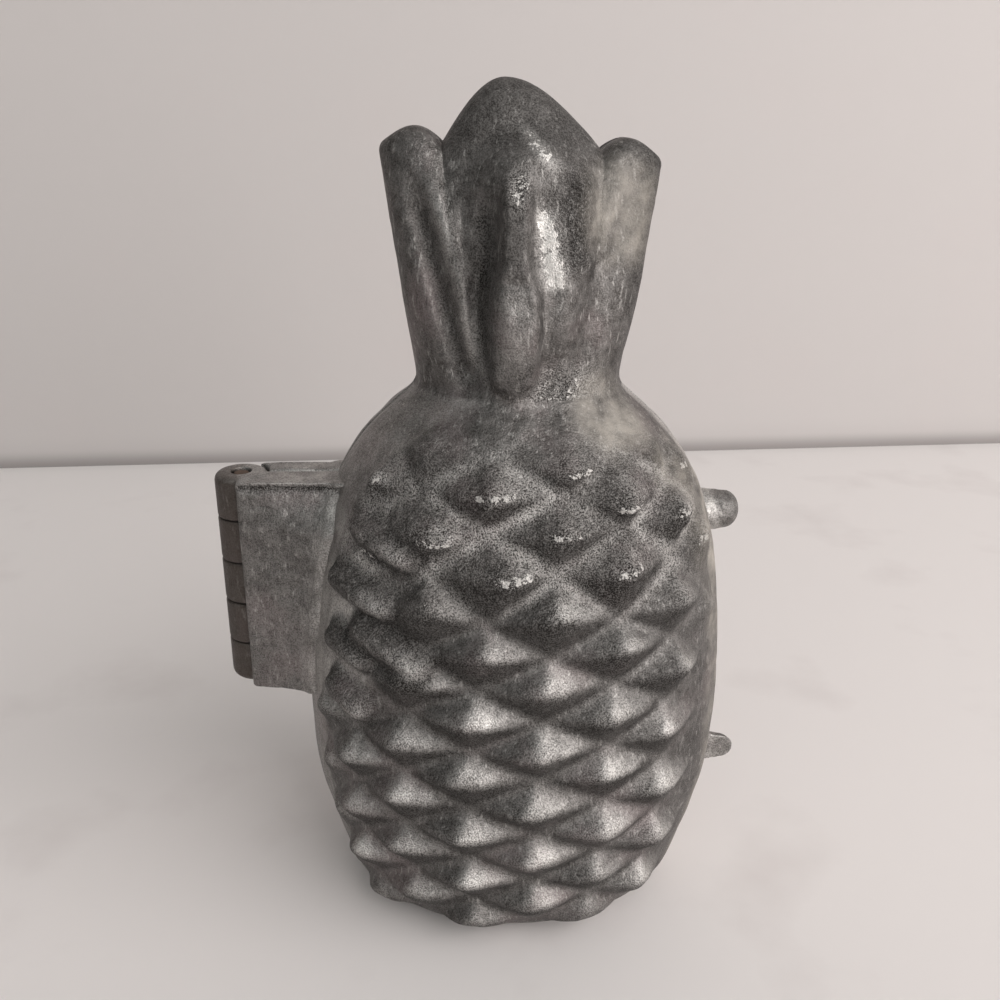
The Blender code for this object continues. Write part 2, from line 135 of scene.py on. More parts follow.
# Crown of three leaves
CROWN_HALF_WIDTH = 17.5
CROWN_TOP_DEPTH = 6.2
LEAF_VALLEY_HALF = 9.7
MIDDLE_LEAF_X = -1.9
MIDDLE_LEAF_RISE = 7.6
SIDE_LEAF_RISE = 1.6
CROWN_TILT = 0.045
LOBE_FOOT_HALF_WIDTH = 5.0
LOBE_HALF_WIDTH = 7.6
LOBE_TOP = 108.4
LOBE_X = 1.2
LOBE_RISE = 2.6
LOBE_SLOPE = 3.6
KEEL_X = -1.2
KEEL_HALF_WIDTH_LOW = 2.8
KEEL_HALF_WIDTH_HIGH = 1.6
KEEL_NOTCH = 91.6
KEEL_TOP = 104.5
KEEL_FOOT = 76.8
KEEL_RISE = 1.7
KEEL_GROOVE_DEPTH = 1.3
FOLD_FOOT_X = 4.2
FOLD_TOP_X = 11.9
FOLD_RISE = 0.8
GROOVE_DEPTH = 1.6
LEAF_CORNER_ROUND = 1.7

# The smooth bands beside the scales: how pale with wear and painted light, and how pale with oxide and
# painted light
BAND_WEAR_AND_LIGHT = 0.6
BAND_OXIDE_AND_LIGHT = 0.5
# Dry corners of the front half: place, radius, and how much oxide is there; the widest spot, low on the right
# side, is partly painted light
OXIDE_AND_LIGHT_SPOTS = (
    (12.0, -9.5, 75.0, 8.0, 0.7),
    (19.0, -8.0, 67.0, 7.0, 0.55),
    (27.0, -3.0, 58.0, 13.0, 0.9),
    (12.0, -6.0, 99.0, 8.5, 0.6),
)
# How far from the parting plane a point can be and still rub on the other half
PARTING_RUB = (0.32, 0.22)

# Stage in metres: the wall behind the table, with painted shade at its foot and a painted shadow line at the
# joint, and each lamp's place, aim and size
WALL_Y = 0.193
WALL_TURN = (math.pi / 2.0, 0.0, 0.052)
JOINT_HEIGHT = 0.0060
FOOT_SHADE_HEIGHT = 0.012
STAGE_SIZE = 6.0
WINDOW = ((0.56, -0.48, 0.40), (0.0, 0.0, 0.05), (0.90, 0.80))
WINDOW_WATTS = 7.7
FILL = ((-0.30, -0.48, 0.32), (0.0, 0.0, 0.02), (0.5, 0.5))
FILL_WATTS = 0.22
# Strength of the room's light on the dim side and towards the window
ROOM_DIM = 0.10
ROOM_BRIGHT = 0.74
TO_WINDOW = (0.80, -0.35, 0.48)

# Camera: angles in degrees, and its distance, height and shift to the side in millimetres
CAMERA_AZIMUTH = 3.0
CAMERA_PITCH = 21.4
CAMERA_ROLL = 0.5
CAMERA_AWAY = 129.5
CAMERA_HEIGHT = 110.5
CAMERA_ASIDE = -2.2

# The pin's own axis is part of the frame, so the axis of the pineapple follows from it
AXIS_X = frame["joints"][0]["pos_m"][0] / MM + PIN_FROM_AXIS


def linear(hex_colour):
    """A colour written as sRGB hex, made linear, with full alpha."""
    shares = [int(hex_colour[i : i + 2], 16) / 255.0 for i in (1, 3, 5)]
    return tuple(s / 12.92 if s <= 0.04045 else ((s + 0.055) / 1.055) ** 2.4 for s in shares) + (1.0,)


def mm_size(name, description, default):
    return FloatProperty(name=name, description=description, default=default * MM, unit="LENGTH", precision=5)


def colour(name, description, hex_colour):
    start = linear(hex_colour)
    return FloatVectorProperty(
        name=name, description=description, default=start, size=4, subtype="COLOR", min=0.0, max=1.0
    )


class MouldSizes(bpy.types.PropertyGroup):
    scale_height: mm_size("Scale height", "Height of a scale's apex over the valleys round it", 3.4)
    keel_round: FloatProperty(
        name="Keel rounding", description="Softness of a scale's upright keel, in half scales", default=0.10
    )
    valley_width: FloatProperty(
        name="Valley width", description="Width of the hollow between scales, in half scales", default=0.12
    )
    facet_swell: FloatProperty(name="Facet swell", description="How far a scale's facets bulge", default=0.25)
    rim_round: mm_size("Rim rounding", "Radius worn onto the edges of the parting face", 0.4)
    dent_depth: mm_size("Dents", "Depth of the broad unevenness of the casting", 0.16)
    pit_depth: mm_size("Pits", "Depth of the small casting pits", 0.07)
    chip_depth: mm_size("Chips", "Depth of the knocks on the battered tips and edges", 0.45)
    solder_fillet: mm_size("Solder fillet", "Radius of the solder where leaves and lugs meet the body", 1.6)


class MouldColours(bpy.types.PropertyGroup):
    patina: colour("Patina", "Dark grey skin of old pewter", "#6c6967")
    patina_deep: colour("Deep patina", "Darker patches of the skin", "#4a4745")
    patina_warm: colour("Warm patina", "Pinkish grey bloom on some facets", "#7d7171")
    # Also laid as painted shade in hollows, creases and under the scales
    filth_and_shade: colour("Filth", "Dirt and dull skin in the hollows, where nothing rubs it", "#191614")
    # Also laid as painted highlights and glints
    worn_and_highlight: colour("Worn metal", "Pewter rubbed bright on the scales' tips", "#d6d3cf")
    # Also laid as painted light on the right side of the halves
    oxide_and_light: colour("Oxide", "Pale dry oxide in corners", "#a59f96")
    barrel: colour("Barrel stain", "Brown of the barrel, stained by the iron pin", "#4c423b")
    inside: colour("Cavity", "Cleaner pewter of the cavity", "#8b8a87")
    floor: colour("Floor", "Pale table top", "#e2dddb")
    wall: colour("Wall", "Pale wall behind", "#beb9b7")


class MouldSettings(bpy.types.PropertyGroup):
    sizes: PointerProperty(type=MouldSizes)
    colours: PointerProperty(type=MouldColours)


def settings():
    return bpy.context.scene.pineapple_mould


# Shapes, as arrays


def smooth(low, high, value):
    """0 below low, 1 above high, and an S between them."""
    t = np.clip((value - low) / (high - low), 0.0, 1.0)
    return t * t * (3.0 - 2.0 * t)


def mix(a, b, t):
    return a + (b - a) * t


def most_of(*values):
    """The largest of the values at each place."""
    return functools.reduce(np.maximum, values)


def bump_at(value, centre, width):
    """A bell of height 1."""
    return np.exp(-(((value - centre) / width) ** 2))


def smooth_min(a, b, blend):
    share = np.clip(0.5 + 0.5 * (b - a) / blend, 0.0, 1.0)
    return mix(b, a, share) - blend * share * (1.0 - share)


def quarter_round(distance, radius):
    """How far a rounded corner draws in at this distance from its end, as a share of its width."""
    t = 1.0 - np.clip(distance / radius, 0.0, 1.0)
    return 1.0 - np.sqrt(1.0 - t * t)


def curve_through(xs, ys, x):
    """A smooth curve through the points, as one cubic between each two."""
    last = len(xs) - 1
    before, after = np.maximum(np.arange(last + 1) - 1, 0), np.minimum(np.arange(last + 1) + 1, last)
    slopes = (ys[after] - ys[before]) / (xs[after] - xs[before])
    i = np.clip(np.searchsorted(xs, x) - 1, 0, last - 1)
    span = xs[i + 1] - xs[i]
    t = (x - xs[i]) / span
    rise = (2 * t**3 - 3 * t**2 + 1) * ys[i] + (3 * t**2 - 2 * t**3) * ys[i + 1]
    return rise + span * ((t**3 - 2 * t**2 + t) * slopes[i] + (t**3 - t**2) * slopes[i + 1])


def half_width(z):
    """Half width of the body at the parting plane."""
    width = BODY_HALF_WIDTH * curve_through(PROFILE_HEIGHTS, PROFILE_WIDTHS, z / NECK_HEIGHT)
    return width - FOOT_ROUND_WIDTH * quarter_round(z, FOOT_ROUND_HEIGHT)


def lattice_row(z):
    """The row of the lattice at a height."""
    return (z - FIRST_APEX_HEIGHT) / ROW_PITCH


def lattice_share(across, row):
    """Where a place of the lattice lies round a half, from -1 at the hinge to 1 at the lugs."""
    spread = COLUMN_SPREAD * smooth(*SPREAD_ROWS, row) * (1.0 - (across / COLUMNS_RIGHT) ** 2)
    lean = mix(LEAN_FOOT, LEAN_NECK, smooth(*LEAN_ROWS, row)) * smooth(-3.9, -1.5, across)
    return across * (COLUMN_STEP + spread) - lean


def lumps(points, size, seed):
    """Smooth unevenness from -1 to 1, its lumps about this size."""
    shift = Vector((seed * 17.3, seed * 5.1, seed * 9.7))
    values = [noise.noise(Vector(p) / size + shift) for p in points.reshape(-1, 3)]
    return np.array(values).reshape(points.shape[:-1])


def softened(field, passes):
    """A grid of values, each blended with its neighbours this many times."""
    for _ in range(passes):
        for axis in (0, 1):
            field = np.moveaxis(field, axis, 0)
            ends = np.concatenate([field[:1], field, field[-1:]])
            field = np.moveaxis((ends[:-2] + 2.0 * ends[1:-1] + ends[2:]) / 4.0, 0, axis)
    return field


def scale_form(across, row, draws):
    """Height of the scales as a share of the highest, and how rubbed, grimy, battered and bare a place is,
    with painted highlights, glints and shade laid in among them.

    A scale is a four-sided pyramid on a diamond. Its tip was carved by hand, so it stands a little off
    the middle, towards the hinge on the lower rows."""
    sizes = settings().sizes
    share, wear_and_highlight, grime_and_shade, battered, bare_and_glint = (np.zeros(np.broadcast(across, row).shape) for _ in range(5))
    grime_and_shade += 0.2
    high_up = smooth(*HIGH_ROWS, row)
    by_leaf = smooth(*LEAF_FOOT_ROWS, row) * (1.0 - smooth(*LEAF_TOP_ROWS, row))
    fallen = row + mix(SCALE_DROP_BODY, SCALE_DROP_SHOULDER, smooth(*DROP_ROWS, row))
    for i in range(8):
        column = i - 3.5
        odd = i % 2
        apex_row = odd + 2.0 * np.floor((fallen - odd + 1.0) / 2.0)
        u, v = across - column, fallen - apex_row
        own = draws[:, i, np.clip(apex_row + 1, 0, TOP_ROW + 2).astype(int)]
        a = 0.10 * own[0] - 0.15 * (1.0 - smooth(6.0, 10.0, row)) + (0.30 if i == 0 else 0.0)
        b = 0.07 * own[1] + 0.12 + 0.2 * bump_at(row, 9.0, 1.5)
        for (carved_column, carved_row), (off_across, off_up) in CARVED_TIPS.items():
            if carved_column == i:
                a = np.where(apex_row == carved_row, off_across, a)
                b = np.where(apex_row == carved_row, off_up, b)
        upper = smooth_min((1.0 + u - v) / (1.0 + a - b), (1.0 - u - v) / (1.0 - a - b), sizes.keel_round)
        lower = smooth_min((1.0 + u + v) / (1.0 + a + b), (1.0 - u + v) / (1.0 - a + b), 0.20)
        pyramid = smooth_min(upper, lower, mix(0.16, 0.07, high_up))
        here = (np.abs(u) + np.abs(v) < 1.0) & (apex_row >= -1) & (apex_row <= TOP_ROW)
        cast = 1.0
        if column == COLUMNS_RIGHT - 1.0:
            cast = 0.55 * smooth(*LUG_SIDE_ROWS, row)
        if column == 1.0 - COLUMNS_LEFT:
            cast = mix(0.45, 0.75, smooth(*HINGE_SIDE_ROWS, row)) * (1.0 - by_leaf)
        if column == 2.0 - COLUMNS_LEFT:
            cast = 1.0 - 0.75 * by_leaf
        blunt = 0.16 * np.abs(own[2]) + 0.25 * (1.0 - smooth(-1.5, 1.5, row))
        worn_tip = smooth_min(pyramid, 1.0 - blunt, 0.10)
        share = np.where(here, worn_tip * (1.0 + 0.10 * own[3]) * cast, share)
        # Hands rub the facets above the tips, and those on the side of the lugs, which face the window, also
        # get painted highlight
        above = smooth(-0.06, 0.06, lower - upper)
        lug_side = smooth(-0.14, 0.12, u - a)
        rubbed_and_lit = mix(0.16 + 0.12 * own[2], 1.0, lug_side) * smooth(0.0, 0.85, pyramid)
        rubbed_and_lit = rubbed_and_lit * mix(0.72 + 0.28 * own[4], 0.70 + 0.30 * own[4], high_up)
        rubbed_and_lit = rubbed_and_lit * mix(0.5, 1.0, smooth(-1.5, 1.5, row))
        # The lip under each shoulder scale's crest gets a painted glint, counted with bare metal
        lip_glint = smooth(-0.32, -0.16, u - a) * (1.0 - smooth(0.20, 0.38, u - a)) * high_up
        lip_glint = lip_glint * smooth(-0.12, -0.03, v - b) * (1.0 - smooth(0.06, 0.20, v - b)) * (0.8 + 0.2 * own[2])
        bare_and_glint = np.where(here, lip_glint, bare_and_glint)
        # The floors of the valleys are broad and pale on the shoulder, narrow and dull below; the paleness is
        # partly wear and partly painted light
        floor = 1.0 - smooth(0.0, mix(0.16, 0.34, high_up), pyramid)
        floor = floor * mix(0.2 * above, 0.48 + 0.25 * own[3], high_up)
        wear_and_highlight = np.where(here, most_of(floor, 0.3 * lip_glint, above * rubbed_and_lit), wear_and_highlight)
        chipped = smooth(0.35, 0.75, pyramid) * mix(0.25, 1.0, high_up)
        battered = np.where(here, np.maximum(chipped, 0.5 * high_up), battered)
        # Painted shade, with some dirt, darkens the scales' undersides; on the upper rows the facets turned
        # away from the lugs and the window are dulled and darkened with painted shade
        under_shade = smooth(-0.05, 0.12, upper - lower) * smooth(0.0, mix(0.05, 0.22, high_up), pyramid)
        dull_and_shaded = high_up * smooth(0.15, 0.50, pyramid) * mix(0.5, 0.0, lug_side) * (1.0 - lip_glint)
        dull_and_shaded = np.maximum(dull_and_shaded, 0.45 * (1.0 - lug_side) * smooth(0.1, 0.5, pyramid) * (0.5 + 0.5 * own[5]))
        grime_and_shade = np.where(here, np.maximum(under_shade * (0.92 + 0.08 * own[5]), dull_and_shaded * above), grime_and_shade)
        if i in (0, 1, 7):
            wear_and_highlight, grime_and_shade = np.where(here, wear_and_highlight * cast, wear_and_highlight), np.where(here, mix(0.1, grime_and_shade, cast), grime_and_shade)
    plain = by_leaf * smooth(1.9, 2.5, -across)
    wear_and_highlight, grime_and_shade = mix(wear_and_highlight, 0.55, plain), mix(grime_and_shade, 0.1, plain)
    for nose, tip in FINGERS:
        along = np.array(((tip[0] - nose[0]) * COLUMN_IN_ROWS, tip[1] - nose[1]))
        length = np.hypot(*along)
        du, dv = (across - nose[0]) * COLUMN_IN_ROWS, row - nose[1]
        ahead, aside = (du * along[0] + dv * along[1]) / length, (du * along[1] - dv * along[0]) / length
        place = np.clip(ahead / length, 0.0, 1.0)
        away = np.hypot(du - place * along[0], dv - place * along[1]) / FINGER_HALF_WIDTH
        # The ridge is round at its nose, and rises and sharpens towards the scale's tip
        ridge = mix(np.sqrt(np.maximum(0.0, 1.0 - away**2)), 1.0 - np.minimum(away, 1.0), 0.5 * place)
        ridge = ridge * mix(FINGER_HEIGHT, 0.85, place)
        share = np.maximum(share, ridge)
        # Each finger gets a painted highlight on its top, and painted shadow on the side below it and before
        # its nose
        on_top = smooth(0.3, 0.8, ridge)
        below = smooth(0.15, 0.6, aside / FINGER_HALF_WIDTH)
        below = np.maximum(below, smooth(0.3, 0.8, -ahead / FINGER_HALF_WIDTH))
        near = 1.0 - smooth(0.9, 1.5, away)
        rubbed_and_lit = on_top * (1.0 - below) * mix(0.05, 0.45, smooth(0.3, 1.0, place))
        wear_and_highlight = np.maximum(wear_and_highlight * (1.0 - near), rubbed_and_lit)
        grime_and_shade = np.maximum(grime_and_shade * (1.0 - on_top), near * below)
        battered = np.maximum(battered, 0.4 * near)
    valley = sizes.valley_width * mix(1.0, 1.9, high_up)
    share = 0.5 * (share - valley + np.sqrt((share - valley) ** 2 + valley**2)) / (1.0 - valley)
    share += sizes.facet_swell * share * (1.0 - share)
    return share, wear_and_highlight, grime_and_shade, battered, bare_and_glint


def scale_relief(across, row, draws):
    """Height of the scales in millimetres, and the masks of their surface."""
    share, *masks = scale_form(across, row, draws)
    height = mix(settings().sizes.scale_height / MM, SCALE_HEIGHT_SHOULDER, smooth(*SHOULDER_ROWS, row))
    cast = 1.0 - smooth(TOP_ROW - 1.6, TOP_ROW, row)
    cast = cast * smooth(BOTTOM_ROW - 0.8, BOTTOM_ROW + 0.8, row)
    return [height * cast * share] + [mask * cast for mask in masks]


def crown_outline(x, inset):
    """Height of the three leaves' scalloped top edge. The middle leaf's tip stands off the middle."""
    valley_x = LEAF_VALLEY_HALF - inset * 0.3
    side_of_tip = np.where(x < MIDDLE_LEAF_X, valley_x + MIDDLE_LEAF_X, valley_x - MIDDLE_LEAF_X)
    from_tip = np.clip(np.abs(x - MIDDLE_LEAF_X) / side_of_tip, 0.0, 1.0)
    side = np.clip((np.abs(x) - valley_x) / (CROWN_HALF_WIDTH - inset - valley_x), 0.0, 1.0)
    rise = MIDDLE_LEAF_RISE * np.cos(math.pi / 2.0 * from_tip) + SIDE_LEAF_RISE * np.sin(math.pi * side**0.9)
    return TOTAL_HEIGHT - inset - MIDDLE_LEAF_RISE + rise - CROWN_TILT * (x - MIDDLE_LEAF_X)


def crown_relief(x, z):
    """What the lobe, its keel and the folds of the side leaves add to the plain depth of the crown."""
    climb = (z - NECK_HEIGHT) / (TOTAL_HEIGHT - MIDDLE_LEAF_RISE - NECK_HEIGHT)
    lobe_edge = mix(LOBE_FOOT_HALF_WIDTH, LOBE_HALF_WIDTH, smooth(0.0, 0.62, climb))
    outside = np.hypot(x - LOBE_X, np.maximum(0.0, z - LOBE_TOP + LOBE_HALF_WIDTH)) - lobe_edge
    soft_edge = 1.0 - smooth(-LOBE_SLOPE, 1.2, outside)
    crisp_edge = 1.0 - (1.0 - np.clip(-outside / LOBE_SLOPE, 0.0, 1.0)) ** 2.5
    crisp = smooth(1.0, 6.0, x) * (1.0 - smooth(102.0, 106.0, z)) * smooth(89.0, 94.0, z)
    relief = LOBE_RISE * mix(soft_edge, crisp_edge, crisp)
    fold_x = mix(FOLD_FOOT_X, FOLD_TOP_X, climb)
    away = np.abs(x) - fold_x
    folds = FOLD_RISE * bump_at(away, 0.0, 1.8) - GROOVE_DEPTH * bump_at(away, 2.4, 1.4)
    folds *= np.where(x > 0.0, mix(0.10, 0.45, smooth(0.40, 0.75, climb)), 1.0)
    folds *= smooth(0.0, 0.12, climb) * (1.0 - smooth(0.68, 0.95, climb))
    from_keel = np.abs(x - KEEL_X)
    half = mix(KEEL_HALF_WIDTH_LOW, KEEL_HALF_WIDTH_HIGH, smooth(KEEL_NOTCH - 2.5, KEEL_NOTCH + 2.5, z))
    keel = KEEL_RISE * (1.0 - smooth(half - 0.7, half + 0.8, from_keel))
    keel *= 1.0 - 0.25 * bump_at(z, KEEL_NOTCH, 0.7)
    beside = np.where(x < KEEL_X, 1.0, 0.25) * (1.0 - smooth(98.0, 103.0, z))
    keel = keel * (1.0 - smooth(KEEL_TOP - 4.0, KEEL_TOP, z))
    keel *= smooth(0.0, 1.8, z - KEEL_FOOT - 1.6 * (from_keel / KEEL_HALF_WIDTH_LOW) ** 2)
    keel = keel - KEEL_GROOVE_DEPTH * beside * bump_at(from_keel, half + 1.7, 1.2) * smooth(0.0, 0.1, climb)
    return relief * smooth(0.0, 0.35, climb) + folds + keel


def crown_surface(x, z):
    """How rubbed, grimy, battered and bare the crown is at a place, with painted highlights and painted shade
    among the wear and grime.
    """
    # Painted highlights: a streak on the lobe right of the keel, a spot on the keel's cap and a line along
    # the lobe's top edge
    streak_highlight = bump_at(x, 2.9 - 0.18 * (z - 95.0), 1.1) * smooth(90.0, 91.5, z) * (1.0 - smooth(97.5, 101.0, z))
    streak_highlight = np.minimum(1.0, 1.3 * streak_highlight)
    cap_highlight = bump_at(np.hypot(x + 0.9, (z - 101.8) / 1.6), 0.0, 1.1)
    brow_highlight = bump_at(z - 106.7 + 1.0 * (x - 1.0), 0.0, 1.1) * bump_at(x, 1.7, 1.7)
    # The lower keel is made paler; the lobe's right edge, the groove left of the keel and the left leaf's
    # groove get painted shade
    flat = bump_at(x, KEEL_X, 1.8) * smooth(79.0, 82.0, z) * (1.0 - smooth(88.0, 92.0, z))
    band = bump_at(x, 6.2, 1.9) * smooth(91.0, 95.0, z) * (1.0 - smooth(102.0, 106.0, z))
    keel_groove_shade = bump_at(x, KEEL_X - 3.7, 1.4) * (1.0 - smooth(98.0, 103.0, z)) * smooth(77.0, 80.0, z)
    high_keel = bump_at(x, KEEL_X, 2.0) * smooth(91.0, 93.0, z) * (1.0 - smooth(100.0, 104.0, z))
    fold_x = -mix(FOLD_FOOT_X + 2.4, FOLD_TOP_X + 2.4, (z - 77.0) / 29.4)
    left_groove_shade = bump_at(x, fold_x, 1.1) * smooth(76.0, 78.0, z) * (1.0 - smooth(98.0, 103.0, z))
    # A painted highlight runs along the left leaf's fold
    ridge = bump_at(x, fold_x + 2.2, 0.9) * smooth(78.0, 80.0, z) * (1.0 - smooth(99.0, 104.0, z))
    lap = bump_at(x - 5.0, 0.0, 4.0) * (1.0 - smooth(78.0, 83.0, z))
    wear_and_highlight = most_of(0.7 * streak_highlight, 0.3 * cap_highlight, 0.5 * brow_highlight, 0.25 * flat, 0.3 * ridge, 0.4 * lap)
    # The upper keel, the middle leaf's top and the right leaf's outer part are made darker
    middle_leaf = smooth(104.0, 108.0, z) * (1.0 - smooth(8.0, 10.0, np.abs(x)))
    right_leaf = smooth(12.0, 15.0, x) * smooth(80.0, 90.0, z)
    grime_and_shade = most_of(0.4 * band, keel_groove_shade, 0.6 * high_keel, 0.7 * left_groove_shade, 0.6 * middle_leaf)
    grime_and_shade = most_of(grime_and_shade, 0.75 * right_leaf) * (1.0 - streak_highlight)
    bare_and_glint = most_of(streak_highlight, 0.8 * cap_highlight, 0.8 * brow_highlight, 0.45 * lap)
    return wear_and_highlight, grime_and_shade, most_of(band, cap_highlight, 0.8 * lap), bare_and_glint


def body_sheet(across, margin, z, squash, inset, draws):
    """The body's part of a face: z and squash hold a height and a share of the depth for each row."""
    row = lattice_row(z)
    share = mix(lattice_share(across, row), np.copysign(1.0, across), margin)
    turn = share * math.pi / 2.0
    z = inset + z * (NECK_HEIGHT - inset) / NECK_HEIGHT
    drawn = FLOOR_ROUND * quarter_round(z - inset, FLOOR_ROUND) if inset else 0.0
    width, depth = half_width(z) - inset - drawn, DEPTH_RATIO * half_width(z) - inset - drawn
    rise, wear_and_highlight, grime_and_shade, battered, bare_and_glint = scale_relief(across, row, draws)
    fade = 1.0 - smooth(0.0, 1.0, margin)
    # Next to the hinge the scales are cut off, clear of the leaf
    beside = np.where(turn < 0.0, smooth(*HINGE_SIDE_DEPTHS, depth * np.cos(turn) + inset), 1.0)
    fade = fade * beside
    at_leaf = smooth(-0.5, 1.5, z - HINGE_BOTTOM) * (1.0 - smooth(-3.0, 0.0, z - HINGE_TOP))
    rise = softened(rise * fade, 2 if inset else 3)
    # The bands beside the scales, next to the parting face, are smooth, and paler with wear and painted light
    band = np.where(turn > 0.0, smooth(0.84, 0.90, share), mix(0.4, 0.9, at_leaf) * (1.0 - beside))
    wear_and_highlight = softened(np.maximum(wear_and_highlight * fade, BAND_WEAR_AND_LIGHT * band * (1.0 - smooth(0.5, 2.0, rise))), 2)
    grime_and_shade, battered = softened(grime_and_shade * fade, 2), softened(battered * fade, 2)
    nx, ny = np.sin(turn) / width, np.cos(turn) / depth
    size = np.hypot(nx, ny)
    x = width * np.sin(turn) + nx / size * rise
    y = (depth * np.cos(turn) + ny / size * rise) * squash
    return np.stack(np.broadcast_arrays(x, y, z, wear_and_highlight, grime_and_shade, battered, bare_and_glint * fade), axis=-1)


def crown_sheet(across, margin, climb, inset):
    """The crown's part of a face, from the neck up to the leaves' edge."""
    share = mix(lattice_share(across, lattice_row(NECK_HEIGHT)), np.copysign(1.0, across), margin)
    across_crown = np.sin(share * math.pi / 2.0)
    edge = mix(half_width(NECK_HEIGHT), CROWN_HALF_WIDTH, climb) - inset
    x = edge * across_crown
    z = mix(NECK_HEIGHT, crown_outline((CROWN_HALF_WIDTH - inset) * across_crown, inset), climb)
    power = mix(2.0, 3.2, smooth(0.0, 0.5, climb))
    side = np.maximum(0.0, 1.0 - np.abs(across_crown) ** power) ** (1.0 / power)
    crest = np.maximum(0.0, 1.0 - climb**7) ** (1.0 / 3.0)
    plain = mix(DEPTH_RATIO * half_width(NECK_HEIGHT), CROWN_TOP_DEPTH, climb) - inset
    y = (plain + crown_relief(x, z)) * side * crest
    # The outer corners of the side leaves are round
    below = (1.0 - climb) * (TOTAL_HEIGHT - MIDDLE_LEAF_RISE - NECK_HEIGHT)
    x = x - LEAF_CORNER_ROUND * quarter_round(below, LEAF_CORNER_ROUND) * across_crown**4 * np.sign(x)
    return np.stack([x, y, z] + list(crown_surface(x, z)), axis=-1)


def casting_face(columns, rows, inset, draws):
    """One face of a half as arrays of x, depth, z, wear, grime, battering and bareness at each point, where
    the wear holds painted highlights, the grime painted shade and the bareness painted glints.

    columns holds place in the lattice and margin. Inset is 0 outside."""
    across, margin = (np.array(c)[None, :] for c in zip(*columns))
    foot, heights, climbs = (np.array(r)[:, None] for r in rows)
    face = np.concatenate(
        [
            body_sheet(across, margin, np.zeros_like(foot), foot, inset, draws),
            body_sheet(across, margin, heights, 1.0, inset, draws),
            crown_sheet(across, margin, climbs, inset),
        ]
    )
    # The corner at the neck is a soft hollow
    neck = bump_at(face[..., 2:3], NECK_HEIGHT, 1.6)[1:-1]
    for _ in range(8):
        blended = (face[:-2, :, :3] + 2.0 * face[1:-1, :, :3] + face[2:, :, :3]) / 4.0
        face[1:-1, :, :3] = mix(face[1:-1, :, :3], blended, neck)
    return face


def face_rows(feet, low_heights, step, count):
    """Rows of a face: shares of the foot's depth, heights of the body, and climbs of the crown."""
    heights = low_heights + list(np.arange(low_heights[-1] + step, NECK_HEIGHT - step / 2.0, step))
    climbs = [1.0 - (1.0 - t) ** 1.8 for t in np.linspace(0.0, 1.0, count)]
    return feet, heights, climbs


def lattice_columns(steps, margins):
    count = int((COLUMNS_LEFT + COLUMNS_RIGHT) * steps)
    columns = [(-COLUMNS_LEFT, margin) for margin in margins]
    columns += [(mix(-COLUMNS_LEFT, COLUMNS_RIGHT, i / count), 0.0) for i in range(count + 1)]
    return columns + [(COLUMNS_RIGHT, margin) for margin in reversed(margins)]


# Each face's steps to a column, its margins from the parting plane inwards, and its rows
OUTSIDE_STEPS = 24
OUTSIDE_MARGINS = (
    *(1.0, 0.9985, 0.995, 0.988, 0.975, 0.95, 0.91, 0.85),
    *(0.77, 0.67, 0.56, 0.44, 0.32, 0.20, 0.09),
)
OUTSIDE_ROWS = ([0.0, 0.25, 0.5, 0.75, 0.92], [0.0, 0.03, 0.12, 0.3, 0.6, 1.0], 0.4, 106)
INSIDE_STEPS = 12
INSIDE_MARGINS = (1.0, 0.985, 0.94, 0.85, 0.70, 0.52, 0.33, 0.15)
INSIDE_ROWS = ([0.0, 0.35, 0.7, 0.92], [0.0, 0.1, 0.4, 0.9, 1.6], 0.8, 54)


def worn_face(face, seed):
    """Gives an outer face its dents, pits and worn rim."""
    sizes = settings().sizes
    points = face[..., :3]
    depth = points[..., 1].copy()
    ashore = smooth(0.2, 2.5, depth)
    shoulder = smooth(60.0, 68.0, points[..., 2]) * (1.0 - smooth(78.0, 84.0, points[..., 2]))
    dents = (1.0 + shoulder) * lumps(points, 9.0, seed) + (0.5 + shoulder) * lumps(points, 4.0, seed + 1)
    pits = np.minimum(0.0, lumps(points, 1.1, seed + 2) + 0.25) + 0.3 * lumps(points, 2.0, seed + 3)
    moved = sizes.dent_depth / MM * dents + sizes.pit_depth / MM * pits * 2.0
    moved += sizes.chip_depth / MM * face[..., 5] * (lumps(points, 1.5, seed + 4) - 0.2)
    normals = grid_normals(points)
    points += normals * (moved * ashore)[..., None]
    # The rim's edge is worn round, away from the outline of the parting face
    radius = sizes.rim_round / MM
    inset = radius - np.sqrt(np.maximum(0.0, radius**2 - np.maximum(0.0, radius - depth) ** 2))
    outline = normals.copy()
    outline[..., 1] = 0.0
    outline /= np.maximum(np.linalg.norm(outline, axis=-1, keepdims=True), 1e-6)
    points -= outline * inset[..., None]
    points[..., 2] = np.maximum(points[..., 2], 0.0)
    return face


def grid_normals(points):
    """Normals of a grid of points, outwards."""
    along = np.gradient(points, axis=1)
    up = np.gradient(points, axis=0)
    normals = np.cross(up, along)
    length = np.linalg.norm(normals, axis=-1, keepdims=True)
    normals = normals / np.maximum(length, 1e-9)
    centre = np.array((0.0, 0.0, 50.0))
    facing = np.sign(np.median(np.sum(normals * (points - centre), axis=-1)))
    return normals * facing


# Modelling


def only(*objects):
    """Selects these objects and no others, the first one active."""
    bpy.ops.object.select_all(action="DESELECT")
    for one in objects:
        one.select_set(True)
    bpy.context.view_layer.objects.active = objects[0]


def placed(x, y, z):
    """Millimetres about the pineapple's axis to metres in the frame."""
    return ((x + AXIS_X) * MM, y * MM, z * MM)


def set_points(made, points):
    made.data.vertices.foreach_set("co", np.ascontiguousarray(points, np.float32).ravel())
    made.data.update()


def get_points(made, what="co"):
    """The points' places, or their normals."""
    values = np.empty(len(made.data.vertices) * 3, np.float32)
    made.data.vertices.foreach_get(what, values)
    return values.reshape(-1, 3).astype(float)


